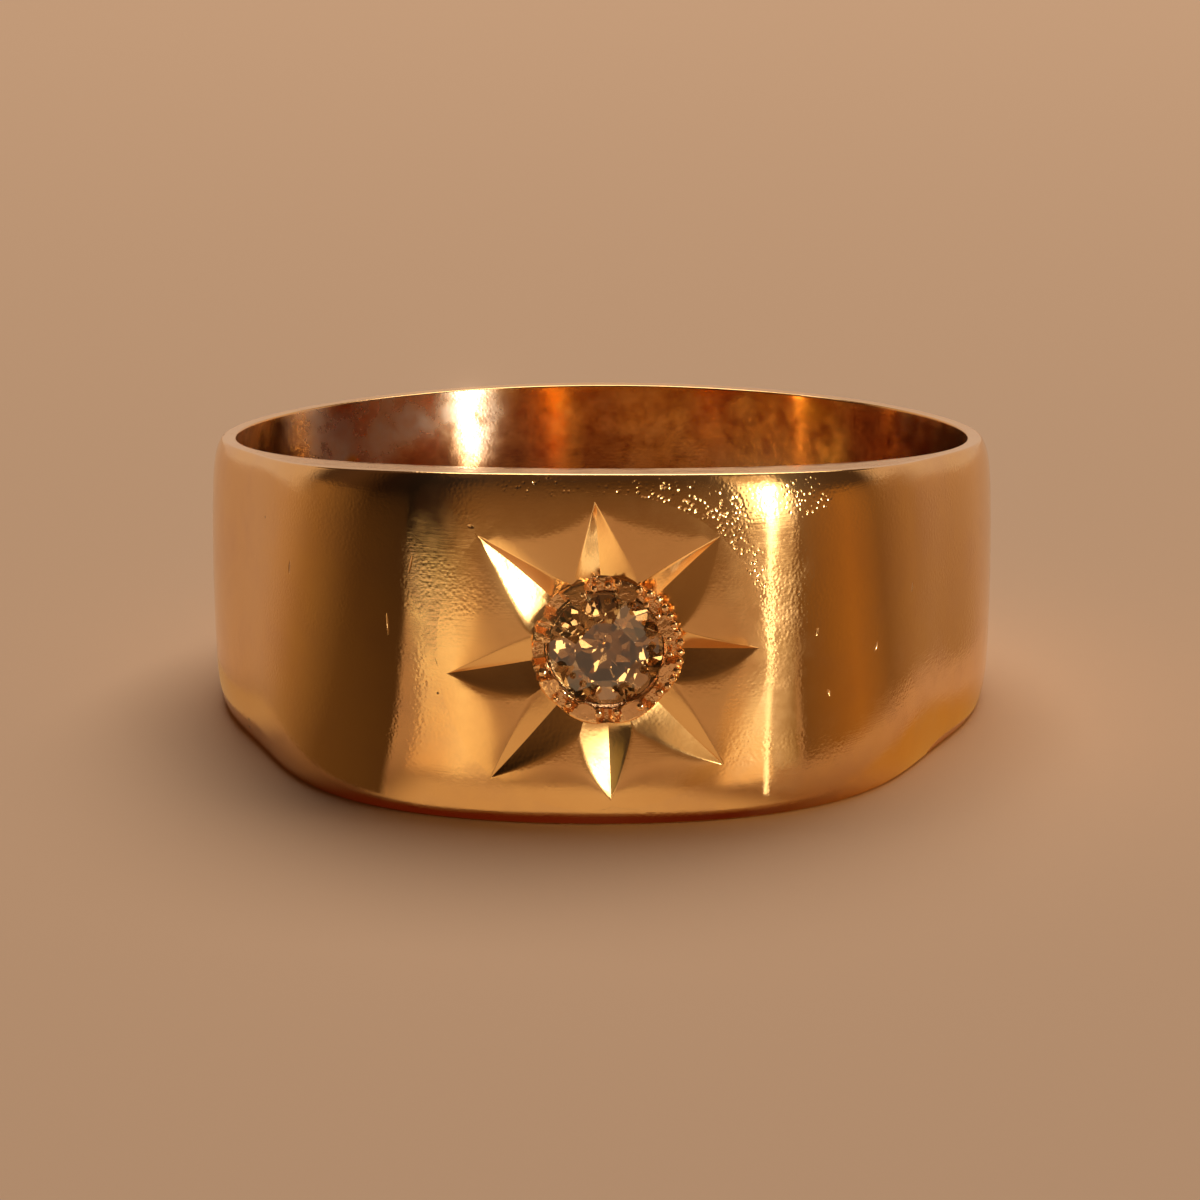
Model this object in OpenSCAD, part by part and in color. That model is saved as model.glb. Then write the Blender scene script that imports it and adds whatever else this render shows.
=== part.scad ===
// A wide gold band ring that lies on its lower edge, with one old-cut stone
// sunk in an engraved eight-ray star.
// The band is made about its own mid plane: X to the right, Y to the back and
// Z along the finger hole, with the star facing -Y. It narrows to the back, so
// on a flat surface it leans back by half of that taper.

/* [Finger hole] */
// Inner diameter
bore_d = 18.8; // [16:0.1:21]

/* [Band] */
// Width of the band at the front, through the stone
front_w = 8.3; // [7.9:0.05:9]
// Width of the band at each side
side_w = 6.75; // [6.4:0.05:7.2]
// Width of the band at the back
back_w = 6.1; // [5.6:0.05:6.6]
// Thickness of the metal at the front
front_wall = 2.45; // [2.3:0.05:2.8]
// Thickness of the metal at each side
side_wall = 0.66; // [0.6:0.02:0.9]
// Thickness of the metal at the back
back_wall = 0.82; // [0.7:0.02:1.1]
// Angle from the middle of the front at which the thick part falls away
shoulder_angle = 47; // [42:1:52]
// How sharply it falls away there
shoulder_power = 4.4; // [3:0.1:6]
// How much the middle of the front is flattened
front_flat = 0.06; // [0:0.01:0.12]
// Bulge of the outer face across its width
crown = 0.1; // [0:0.01:0.2]
// How much the outer edges are worn down
edge_wear = 0.2; // [0.1:0.01:0.3]

/* [Star] */
// Angle of the stone round the band from the middle of the front
stone_turn = 2.2; // [0:0.1:4]
// Depth of a ray where it meets the collar
ray_depth = 0.44; // [0.36:0.02:0.5]
// Half width of a ray for each millimetre of its depth
ray_spread = 2.15; // [2:0.05:2.3]
// How full the leaf shape of a ray is
ray_power = 1.5; // [1.3:0.1:2]
// Depth of the scoops between the rays
scoop_depth = 0.16; // [0.1:0.01:0.2]
// Distance from the stone at which the scoops end between two tips
scoop_reach = 2.95; // [2.7:0.05:3.1]

/* [Setting] */
// Outer diameter of the collar that stands round the stone
collar_d = 3.5; // [3.3:0.05:3.7]
// Number of beads cut on the collar
bead_n = 16; // [12:1:18]
// Diameter of a bead
bead_d = 0.44; // [0.4:0.02:0.5]
// Diameter of the drilled hole behind the stone
light_hole_d = 1.3; // [1.1:0.1:1.5]

/* [Stone] */
// Diameter of the stone at its girdle
stone_d = 2.64; // [2.5:0.02:2.7]
// Height of the crown above the girdle, as a share of the diameter
crown_share = 0.165; // [0.14:0.005:0.18]
// Depth of the pavilion below the girdle, as a share of the diameter
pavilion_share = 0.44; // [0.4:0.01:0.46]
// Width of the table, as a share of the diameter
table_share = 0.5; // [0.45:0.01:0.55]
// Width of the culet, as a share of the diameter
culet_share = 0.09; // [0.06:0.01:0.12]

/* [Hidden] */

gold = "#d9a15c";
champagne = "#c9b79c";

bore_r = bore_d / 2;
stone_r = stone_d / 2;
collar_r = collar_d / 2;
bead_r = bead_d / 2;

// The eight rays: angle clockwise from the top as seen from the front, and
// distance of the tip from the middle of the stone.
RAYS = [
    [-4, 3.5],
    [44.5, 3.7],
    [90, 3.5],
    [135, 3.85],
    [178, 3.5],
    [221.5, 4],
    [261, 3.65],
    [312.5, 3.95]
];

// Fineness of the band: stations round it and steps across its outer face
stations = 90;
face_steps = 12;
// Angular width of the flattened middle of the front
flat_angle = 16;
// Sharpness of the worn outer edges
edge_power = 10;
// How far the rough blank reaches inside the finger hole before it is bored
bore_stock = 0.8;

// Thickness of the metal at angle a from the middle of the front
function wall(a) =
    side_wall
    + (front_wall - side_wall) * exp(-pow(abs(a) / shoulder_angle, shoulder_power))
    + (back_wall - side_wall) * pow(max(0, -cos(a)), 2)
    - front_flat * exp(-pow(a / flat_angle, 2));

// Radius of the outer face at angle a, where t runs from -1 at the lower edge
// of the band to 1 at the upper edge
function face_r(a, t) =
    bore_r + wall(a) - crown * t * t - edge_wear * pow(abs(t), edge_power);

front_y = -face_r(0, 0);
back_y = face_r(180, 0);

// Half width below the mid plane falls evenly from the front to the back, so
// that the lower edge is flat
half_slope = (back_w - front_w) / 2 / (back_y - front_y);
function half_low(y) = front_w / 2 + half_slope * (y - front_y);

// Full width follows a curve through the widths at the front, sides and back
w_rise = (side_w - front_w) / (0 - front_y);
w_curve = ((back_w - side_w) / back_y - w_rise) / (back_y - front_y);
function full_w(y) = front_w + w_rise * (y - front_y) + w_curve * (y - front_y) * y;
function half_up(y) = full_w(y) - half_low(y);

function rim_z(y, t) = t < 0 ? t * half_low(y) : t * half_up(y);
function at_angle(a, r) = [r * sin(a), -r * cos(a)];
function face_point(a, t) =
    let (p = at_angle(a, face_r(a, t))) [p[0], p[1], rim_z(p[1], t)];
function inner_point(a, t) =
    let (p = at_angle(a, bore_r - bore_stock)) [p[0], p[1], rim_z(p[1], t)];

// Lean of the band and the height at which its own origin then lies
lean = atan(-half_slope);
lift = cos(lean) * half_low(0);

// Stations run from the back through the front, where the angle is 0, and
// steps across the outer face crowd towards its two edges
function station_a(i) = 360 * i / stations - 180;
function face_t(j) = sin(-90 + 180 * j / face_steps);
face_points = [
    for (i = [0 : stations - 1])
        for (j = [0 : face_steps]) face_point(station_a(i), face_t(j))
];

// Y of a point of the band once it leans back
function leaned_y(p) = cos(lean) * p[1] + sin(lean) * p[2];
low_y = min([for (p = face_points) leaned_y(p)]);
high_y = max([for (p = face_points) leaned_y(p)]);
centre_y = -(low_y + high_y) / 2;

// Closed surface through a ring of sections that all have the same number of
// points, the last section meeting the first
module section_ring(sections) {
    n = len(sections);
    m = len(sections[0]);
    polyhedron(
        points = [for (s = sections) each s],
        faces = [
            for (i = [0 : n - 1])
                for (j = [0 : m - 1])
                    let (
                        a = i * m + j,
                        b = i * m + (j + 1) % m,
                        c = ((i + 1) % n) * m + (j + 1) % m,
                        d = ((i + 1) % n) * m + j
                    )
                    each [[a, b, c], [a, c, d]]
        ],
        convexity = 8
    );
}

// The band before the hole is bored, with its domed face and flat rims
module blank() {
    section_ring([
        for (i = [0 : stations - 1])
            let (a = station_a(i))
            concat(
                [for (j = [0 : face_steps]) face_point(a, face_t(j))],
                [inner_point(a, 1), inner_point(a, -1)]
            )
    ]);
}

module bore() {
    cylinder(h = 3 * front_w, r = bore_r, center = true, $fn = 180);
}

// The setting has its own frame on the front of the band: u to the right and
// v up along the surface, and depth inwards from the surface.
stone_face_r = face_r(stone_turn, 0);
// Angle round the band at distance u from the stone, along the surface
function turn_at(u) = stone_turn + asin(u / stone_face_r);
function surface_point(u, v, depth) =
    let (
        a = turn_at(u),
        y = -stone_face_r * cos(a),
        t = v < 0 ? v / half_low(y) : v / half_up(y),
        p = at_angle(a, face_r(a, t) - depth)
    )
    [p[0], p[1], v];

function ray_point(angle, s, side, depth) =
    surface_point(
        s * sin(angle) + side * cos(angle),
        s * cos(angle) - side * sin(angle),
        depth
    );

// Height above the surface to which the engraving tools are drawn
tool_lift = 0.3;
// Steps along a ray and the radius at which it starts, under the collar
ray_steps = 6;
ray_start = 1.5;

// Depth of a ray's valley at share q of its way from the collar to the tip
function valley_depth(q) = ray_depth * (1 - pow(q, ray_power));

// Share of the way past the tip at which a ray's tool leaves the metal
tool_end = pow(1 + tool_lift / ray_depth, 1 / ray_power);

function ray_section(angle, reach, q) =
    let (
        s = ray_start + q * (reach - ray_start),
        d = valley_depth(q),
        w = ray_spread * (d + tool_lift)
    )
    [
        ray_point(angle, s, 0, d),
        ray_point(angle, s, w, -tool_lift),
        ray_point(angle, s, -w, -tool_lift)
    ];

// Tool that cuts one ray: a V along its valley that runs out past the tip
module ray_tool(angle, reach) {
    sections = [
        for (i = [0 : ray_steps]) each ray_section(angle, reach, i / ray_steps)
    ];
    end = ray_start + tool_end * (reach - ray_start);
    apex = 3 * (ray_steps + 1);
    polyhedron(
        points = concat(sections, [ray_point(angle, end, 0, -tool_lift)]),
        faces = concat(
            [[0, 2, 1]],
            [
                for (i = [0 : ray_steps - 1])
                    for (j = [0 : 2])
                        let (
                            a = 3 * i + j,
                            b = 3 * i + (j + 1) % 3,
                            c = 3 * (i + 1) + (j + 1) % 3,
                            d = 3 * (i + 1) + j
                        )
                        each [[a, b, c], [a, c, d]]
            ],
            [
                for (j = [0 : 2])
                    [3 * ray_steps + j, 3 * ray_steps + (j + 1) % 3, apex]
            ]
        )
    );
}

// How far a scoop reaches past the middle lines of its two rays, and how far
// along them it runs, so that its ends lie inside the rays' own cuts
scoop_overlap = 3;
scoop_share = 0.94;

// Tool that cuts the scoop between two rays: a shallow fan with its low point
// at the collar and its rim on a line from tip to tip, drawn in at the middle
module scoop_tool(a1, reach1, a2, reach2) {
    middle = (a1 + a2) / 2;
    outline = [
        [middle, ray_start, scoop_depth],
        [a1 - scoop_overlap, ray_start, scoop_depth],
        [a1, scoop_share * reach1, 0],
        [middle, scoop_reach, 0],
        [a2, scoop_share * reach2, 0],
        [a2 + scoop_overlap, ray_start, scoop_depth]
    ];
    n = len(outline);
    polyhedron(
        points = concat(
            [for (p = outline) ray_point(p[0], p[1], 0, p[2])],
            [for (p = outline) ray_point(p[0], p[1], 0, -tool_lift)]
        ),
        faces = concat(
            [for (i = [1 : n - 2]) [0, i + 1, i]],
            [for (i = [1 : n - 2]) [n, n + i, n + i + 1]],
            [
                for (i = [0 : n - 1])
                    let (k = (i + 1) % n)
                    each [[i, k, n + k], [i, n + k, n + i]]
            ]
        )
    );
}

module star_tools() {
    n = len(RAYS);
    for (i = [0 : n - 1]) {
        next = (i + 1) % n;
        ray_tool(RAYS[i][0], RAYS[i][1]);
        scoop_tool(
            RAYS[i][0], RAYS[i][1],
            RAYS[next][0] + (next == 0 ? 360 : 0), RAYS[next][1]
        );
    }
}

// Moves a shape made along +Z, with z = 0 on the surface and +z outwards, to
// the place of the stone
module at_stone() {
    rotate([0, 0, stone_turn])
        translate([0, -stone_face_r, 0])
            rotate([90, 0, 0])
                children();
}

// Levels of the setting below the surface
collar_top = 0.14;
bead_level = 0.22;
girdle_level = 0.52;
// Thickness of the stone's girdle and the gap kept round the stone
girdle_h = 0.05;
seat_gap = 0.03;
// How much wider the seat is at the top of the collar than at the girdle
seat_flare = 0.06;
// How far down the star leaves the metal round the stone standing
collar_foot = 1;
// Sides of the round parts of the setting, and of a bead
setting_sides = 64;
bead_sides = 24;

pavilion_h = pavilion_share * stone_d;
crown_h = crown_share * stone_d;
table_r = table_share * stone_r;
culet_r = culet_share * stone_r;
light_hole_r = light_hole_d / 2;
// Radius of the seat at the girdle, and depth at which its cone has narrowed
// to the drilled hole
seat_r = stone_r + seat_gap;
seat_foot =
    girdle_level + girdle_h + 2 * seat_gap
    + pavilion_h * (stone_r - light_hole_r) / (stone_r - culet_r);

// Metal round the stone that the star leaves standing
module collar_core() {
    translate([0, 0, -collar_foot])
        cylinder(h = 2 * collar_foot, r = collar_r, $fn = setting_sides);
}

// Tool that levels the collar and cuts the seat: a flared wall past the girdle,
// a cone under the pavilion and a drilled hole through to the finger, all a
// small gap wider than the stone
module seat() {
    hole_end = -2 * front_wall;
    ledge = -girdle_level - girdle_h - seat_gap;
    rotate_extrude($fn = setting_sides)
        polygon([
            [0, hole_end],
            [light_hole_r, hole_end],
            [light_hole_r, -seat_foot],
            [seat_r, ledge],
            [seat_r + seat_flare, -collar_top],
            [collar_r + seat_gap, -collar_top],
            [collar_r + seat_gap, tool_lift],
            [0, tool_lift]
        ]);
}

// Beads stand on the collar, a little past its edge, and every second one is
// smaller and leans over the crown to hold the stone
bead_overhang = 0.06;
bead_ring_r = collar_r - bead_r + bead_overhang;
grip_ring_r = stone_r - 0.01;
grip_bead_r = 0.9 * bead_r;
module beads() {
    for (i = [0 : bead_n - 1]) {
        gripping = i % 2 == 0;
        rotate([0, 0, 360 * (i + 0.5) / bead_n])
            translate([gripping ? grip_ring_r : bead_ring_r, 0, -bead_level])
                sphere(r = gripping ? grip_bead_r : bead_r, $fn = bead_sides);
    }
}

// Lays the ring on its lower edge, centred over the origin
module laid() {
    translate([0, centre_y, lift]) rotate([-lean, 0, 0]) children();
}

module band() {
    color(gold)
        laid() {
            difference() {
                blank();
                difference() {
                    star_tools();
                    at_stone() collar_core();
                }
                at_stone() seat();
                bore();
            }
            at_stone() beads();
        }
}

// Corner i of n on a circle, as a point at height z
function corner(i, n, r, z, turn = 0) =
    [r * cos(360 * i / n + turn), r * sin(360 * i / n + turn), z];

// Middle corner of a kite facet: how far out it lies between the table and the
// girdle, and how high between the girdle and the table
kite_out = 0.55;
kite_up = 0.5;
// Where the lower facets meet the mains, as a share of the stone's radius
main_share = 0.3;

// The stone: table, eight star facets, eight kites, sixteen upper facets, a
// girdle, sixteen lower facets, eight mains and a small flat culet
module brilliant() {
    kite_r = table_r + kite_out * (stone_r - table_r);
    kite_z = kite_up * crown_h;
    main_r = main_share * stone_r;
    main_z = -girdle_h - pavilion_h * (1 - main_share);
    table = 0;
    kite = 8;
    top = 16;
    bottom = 32;
    mains = 48;
    culet = 56;
    polyhedron(
        points = concat(
            [for (i = [0 : 7]) corner(i, 8, table_r, crown_h)],
            [for (i = [0 : 7]) corner(i, 8, kite_r, kite_z, 22.5)],
            [for (i = [0 : 15]) corner(i, 16, stone_r, 0)],
            [for (i = [0 : 15]) corner(i, 16, stone_r, -girdle_h)],
            [for (i = [0 : 7]) corner(i, 8, main_r, main_z, 22.5)],
            [for (i = [0 : 7]) corner(i, 8, culet_r, -girdle_h - pavilion_h)]
        ),
        faces = concat(
            [[for (i = [7 : -1 : 0]) table + i]],
            [[for (i = [0 : 7]) culet + i]],
            [
                for (i = [0 : 7])
                    let (k = (i + 1) % 8, g = 2 * i, h = 2 * i + 1, j = (2 * i + 2) % 16)
                    each [
                        [table + i, table + k, kite + i],
                        [table + i, kite + i, top + g],
                        [table + k, top + j, kite + i],
                        [kite + i, top + h, top + g],
                        [kite + i, top + j, top + h],
                        [bottom + g, bottom + h, mains + i],
                        [bottom + h, bottom + j, mains + i],
                        [bottom + g, mains + i, culet + i],
                        [bottom + j, culet + k, mains + i],
                        [mains + i, culet + k, culet + i]
                    ]
            ],
            [
                for (i = [0 : 15])
                    let (k = (i + 1) % 16)
                    each [
                        [top + i, top + k, bottom + k],
                        [top + i, bottom + k, bottom + i]
                    ]
            ]
        )
    );
}

module diamond() {
    color(champagne)
        laid()
            at_stone()
                translate([0, 0, -girdle_level])
                    brilliant();
}

band();
diamond();
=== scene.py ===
"""A worn gold cigar band ring with an old-cut diamond sunk in an engraved star.

Sizes are in millimetres in the classes below and become metres only where a
mesh is written. The band has its own frame: X to the right, Y to the back and
Z along the finger hole, with the star facing -Y. On the floor it leans back.
"""

import logging
import math
from dataclasses import dataclass, field
from enum import Enum

import bmesh
import bpy
import numpy as np
from mathutils import Matrix, Vector

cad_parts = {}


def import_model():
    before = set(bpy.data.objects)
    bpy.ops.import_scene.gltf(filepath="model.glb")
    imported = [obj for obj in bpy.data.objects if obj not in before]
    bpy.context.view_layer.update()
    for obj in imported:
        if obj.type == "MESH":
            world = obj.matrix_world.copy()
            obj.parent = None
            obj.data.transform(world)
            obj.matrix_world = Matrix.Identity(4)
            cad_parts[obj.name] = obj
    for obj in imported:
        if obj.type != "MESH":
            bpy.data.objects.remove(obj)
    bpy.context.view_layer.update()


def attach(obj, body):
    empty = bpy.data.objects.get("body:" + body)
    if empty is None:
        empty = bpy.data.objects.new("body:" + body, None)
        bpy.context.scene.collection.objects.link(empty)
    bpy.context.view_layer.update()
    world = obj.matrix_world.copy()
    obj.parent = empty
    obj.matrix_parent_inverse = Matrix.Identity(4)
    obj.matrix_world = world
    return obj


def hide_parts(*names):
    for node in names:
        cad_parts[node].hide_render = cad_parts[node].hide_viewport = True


MM = 0.001
LOG = logging.getLogger("ring")


class Slot(Enum):
    """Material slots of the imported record."""

    GOLD = "gold"
    DIAMOND = "diamond"


class Zone(Enum):
    """Parts of the band that are finished in different ways."""

    FACE = 0
    INSIDE = 1
    CUT = 2
    SCOOP = 3
    SETTING = 4


def linear(hex_colour: str) -> tuple[float, float, float, float]:
    """Turns an sRGB hex colour to linear values.

    Args:
        hex_colour: colour as #rrggbb.

    Returns:
        Red, green, blue and an alpha of 1.
    """
    parts = [int(hex_colour[i : i + 2], 16) / 255 for i in (1, 3, 5)]
    low = [c / 12.92 for c in parts]
    high = [((c + 0.055) / 1.055) ** 2.4 for c in parts]
    mixed = [l if c <= 0.04045 else h for c, l, h in zip(parts, low, high)]
    return (mixed[0], mixed[1], mixed[2], 1.0)


def add_node(
    material: bpy.types.Material,
    kind: str,
    settings: dict | None = None,
    links: dict | None = None,
) -> bpy.types.Node:
    """Adds a shader node with its settings and incoming links.

    Args:
        material: material that gets the node.
        kind: type name of the node.
        settings: socket names or node properties with their values.
        links: socket names with the output socket that feeds each.

    Returns:
        The new node.
    """
    node = material.node_tree.nodes.new(kind)
    for name, value in (settings or {}).items():
        if name in node.inputs:
            node.inputs[name].default_value = value
        elif name.startswith("#"):
            node.inputs[int(name[1:])].default_value = value
        else:
            setattr(node, name, value)
    for name, source in (links or {}).items():
        target = node.inputs[int(name[1:])] if name.startswith("#") else node.inputs[name]
        material.node_tree.links.new(source, target)
    return node


def add_ramp(
    material: bpy.types.Material,
    tones: tuple[tuple[float, str], ...],
    share: bpy.types.NodeSocket,
) -> bpy.types.Node:
    """Adds a colour ramp.

    Args:
        material: material that gets the ramp.
        tones: shares of the way along the ramp, each with its hex colour.
        share: output that says how far along the ramp a point is.

    Returns:
        The ramp.
    """
    ramp = add_node(material, "ShaderNodeValToRGB", links={"Fac": share})
    stops = ramp.color_ramp.elements
    while len(stops) < len(tones):
        stops.new(1.0)
    for stop, (place, colour) in zip(stops, tones):
        stop.position = place
        stop.color = linear(colour)
    return ramp


def combined(
    material: bpy.types.Material, operation: str, *shares: bpy.types.NodeSocket
) -> bpy.types.NodeSocket:
    """Works out one share from others.

    Args:
        material: material that gets the node.
        operation: name of what is done with the shares.
        shares: outputs of the shares, in order.

    Returns:
        Output of the result.
    """
    links = {f"#{number}": share for number, share in enumerate(shares)}
    return add_node(material, "ShaderNodeMath", {"operation": operation}, links).outputs["Value"]


def eased(
    material: bpy.types.Material, value: bpy.types.NodeSocket, first: float, last: float
) -> bpy.types.NodeSocket:
    """Brings a value to a share that grows with soft ends.

    Args:
        material: material that gets the node.
        value: output to bring to a share.
        first: value where the share is 0.
        last: value where the share is 1.

    Returns:
        Output of the share.
    """
    return add_node(
        material,
        "ShaderNodeMapRange",
        {"interpolation_type": "SMOOTHSTEP", "From Min": first, "From Max": last},
        {"Value": value},
    ).outputs["Result"]


def surface_of(material: bpy.types.Material, surface: bpy.types.NodeSocket) -> None:
    """Makes a shader's output the surface of its material."""
    add_node(material, "ShaderNodeOutputMaterial", links={"Surface": surface})


def new_material(name: str) -> bpy.types.Material:
    """Makes an empty node material.

    Args:
        name: its name.

    Returns:
        The material.
    """
    material = bpy.data.materials.new(name)
    material.use_nodes = True
    material.node_tree.nodes.clear()
    return material


def object_mode() -> None:
    """Leaves edit mode if an object is being edited."""
    if bpy.context.object is not None and bpy.context.object.mode != "OBJECT":
        bpy.ops.object.mode_set(mode="OBJECT")


def deselect_all() -> None:
    """Leaves edit mode and deselects every object."""
    object_mode()
    bpy.ops.object.select_all(action="DESELECT")


def select_only(*objects: bpy.types.Object) -> None:
    """Selects these objects alone and makes the first one active.

    Args:
        objects: what to select.
    """
    deselect_all()
    for item in objects:
        item.select_set(True)
    bpy.context.view_layer.objects.active = objects[0]


def clear_selection(item: bpy.types.Object, kind: str) -> None:
    """Deselects all of a mesh and sets what edit mode selects.

    Args:
        item: object of the mesh.
        kind: VERT, EDGE or FACE.
    """
    select_only(item)
    bpy.ops.object.mode_set(mode="EDIT")
    bpy.ops.mesh.select_mode(type=kind)
    bpy.ops.mesh.select_all(action="DESELECT")
    object_mode()


def read_points(mesh: bpy.types.Mesh) -> np.ndarray:
    """Reads the vertices of a mesh.

    Args:
        mesh: mesh to read.

    Returns:
        Array of points, in the mesh's own metres.
    """
    values = np.empty(len(mesh.vertices) * 3)
    mesh.vertices.foreach_get("co", values)
    return values.reshape(-1, 3)


def write_points(mesh: bpy.types.Mesh, points: np.ndarray) -> None:
    """Moves the vertices of a mesh.

    Args:
        mesh: mesh to change.
        points: new places of its vertices, in metres.
    """
    mesh.vertices.foreach_set("co", points.reshape(-1))
    mesh.update()


def wrapped(angle: np.ndarray) -> np.ndarray:
    """Returns angles in degrees brought between -180 and 180."""
    return (angle + 180.0) % 360.0 - 180.0


def bent(
    start: np.ndarray, corner: np.ndarray, end: np.ndarray, share: float
) -> np.ndarray:
    """Follows a round bend, from its start past its corner to its end.

    Args:
        start: where it starts.
        corner: where its two straight ends would meet.
        end: where it ends.
        share: share of the way along.

    Returns:
        The place at that share.
    """
    left = 1 - share
    return left**2 * start + 2 * share * left * corner + share * share * end


@dataclass(frozen=True)
class BandForm:
    """Sizes of the band and the curves that its surfaces follow, in mm."""

    bore_r: float = 9.4
    front_w: float = 8.3
    side_w: float = 6.75
    back_w: float = 6.1
    front_wall: float = 2.45
    side_wall: float = 0.66
    back_wall: float = 0.82
    shoulder_angle: float = 47.0
    shoulder_power: float = 4.4
    front_flat: float = 0.06
    flat_angle: float = 16.0
    crown: float = 0.1
    edge_wear: float = 0.2
    edge_power: float = 10.0
    box_gap: float = 0.008
    probe_turns: int = 91
    probe_shares: int = 13

    def wall(self, a: np.ndarray) -> np.ndarray:
        """Works out the thickness of the metal.

        Args:
            a: angles from the middle of the front, in degrees.

        Returns:
            Thicknesses in mm.
        """
        shoulder = np.exp(-((np.abs(a) / self.shoulder_angle) ** self.shoulder_power))
        back = np.maximum(0.0, -np.cos(np.radians(a))) ** 2
        flat = np.exp(-((a / self.flat_angle) ** 2))
        return (
            self.side_wall
            + (self.front_wall - self.side_wall) * shoulder
            + (self.back_wall - self.side_wall) * back
            - self.front_flat * flat
        )

    def face_r(self, a: np.ndarray, t: np.ndarray) -> np.ndarray:
        """Works out the radius of the outer face.

        Args:
            a: angles from the middle of the front, in degrees.
            t: shares of the half width, from -1 to 1.

        Returns:
            Radii in mm.
        """
        worn = self.edge_wear * np.abs(t) ** self.edge_power
        return self.bore_r + self.wall(a) - self.box_gap - self.crown * t * t - worn

    @property
    def front_y(self) -> float:
        """Y of the middle of the front."""
        return -float(self.face_r(np.array(0.0), np.array(0.0)))

    @property
    def back_y(self) -> float:
        """Y of the middle of the back."""
        return float(self.face_r(np.array(180.0), np.array(0.0)))

    @property
    def half_slope(self) -> float:
        """How fast the lower half width changes from the front to the back."""
        return (self.back_w - self.front_w) / 2 / (self.back_y - self.front_y)

    def half_low(self, y: np.ndarray) -> np.ndarray:
        """Returns the half width below the mid plane at y."""
        return self.front_w / 2 + self.half_slope * (y - self.front_y)

    def half_up(self, y: np.ndarray) -> np.ndarray:
        """Works out the half width above the mid plane.

        Args:
            y: places from front to back, in mm.

        Returns:
            Half widths in mm.
        """
        rise = (self.side_w - self.front_w) / (0 - self.front_y)
        curve = ((self.back_w - self.side_w) / self.back_y - rise) / (self.back_y - self.front_y)
        full = self.front_w + rise * (y - self.front_y) + curve * (y - self.front_y) * y
        return full - self.half_low(y)

    def half(self, y: np.ndarray, t: np.ndarray) -> np.ndarray:
        """Returns the half width on the side that the sign of t tells."""
        return np.where(t < 0, self.half_low(y), self.half_up(y))

    @property
    def lean(self) -> float:
        """Angle in radians by which the band leans back on its lower edge."""
        return math.atan(-self.half_slope)

    @property
    def lift(self) -> float:
        """Height of the band's own origin above the floor."""
        return math.cos(self.lean) * float(self.half_low(np.array(0.0)))

    def on_face(self, a: np.ndarray, t: np.ndarray, depth: np.ndarray) -> np.ndarray:
        """Places points on the outer face, or below it.

        Args:
            a: angles from the middle of the front, in degrees.
            t: shares of the half width, from -1 to 1.
            depth: depths below the face.

        Returns:
            Points in the band's own frame.
        """
        r = self.face_r(a, t)
        turn = np.radians(a)
        v = t * self.half(-r * np.cos(turn), t)
        r = r - depth
        return np.stack([r * np.sin(turn), -r * np.cos(turn), v], axis=-1)

    def on_bore(self, a: np.ndarray, t: np.ndarray) -> np.ndarray:
        """Places points on the finger hole, level with those of the face.

        Args:
            a: angles from the middle of the front, in degrees.
            t: shares of the half width of the face, from -1 to 1.

        Returns:
            Points in the band's own frame.
        """
        level = self.on_face(a, t, np.zeros_like(a))[..., 2]
        turn = np.radians(a)
        x = self.bore_r * np.sin(turn)
        y = -self.bore_r * np.cos(turn)
        return np.stack([x, y, level], axis=-1)

    def laid(self, points: np.ndarray) -> np.ndarray:
        """Lays points of the band on the floor, leaning back with it.

        Args:
            points: points in the band's own frame.

        Returns:
            The same points in metres, in the frame of the whole ring.
        """
        x, y, z = points[..., 0], points[..., 1], points[..., 2]
        c, s = math.cos(self.lean), math.sin(self.lean)
        back = c * y + s * z + self.centre_y
        up = -s * y + c * z + self.lift
        return np.stack([x, back, up], axis=-1) * MM

    @property
    def centre_y(self) -> float:
        """Shift that puts the middle of the leaning band over the origin.

        Returns:
            The shift towards the back, in mm.
        """
        turns = np.linspace(-180, 180, self.probe_turns)
        shares = np.sin(np.radians(np.linspace(-90, 90, self.probe_shares)))
        a, t = np.meshgrid(turns, shares, indexing="ij")
        p = self.on_face(a, t, np.zeros_like(a))
        leaned = math.cos(self.lean) * p[..., 1] + math.sin(self.lean) * p[..., 2]
        return -float(leaned.min() + leaned.max()) / 2


@dataclass(frozen=True)
class Ray:
    """One engraved ray: a V cut whose two walls are of unequal width.

    Angles run clockwise from the top, as the front is looked at. The left wall
    is the one on the side of smaller angles. A fullness over 1 bows a wall's
    edge outwards and one under 1 draws it in.
    """

    turn: float
    reach: float
    left_w: float
    left_full: float
    right_w: float
    right_full: float
    scoop: float
    scoop_reach: float
    depth: float = 0.44


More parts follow.
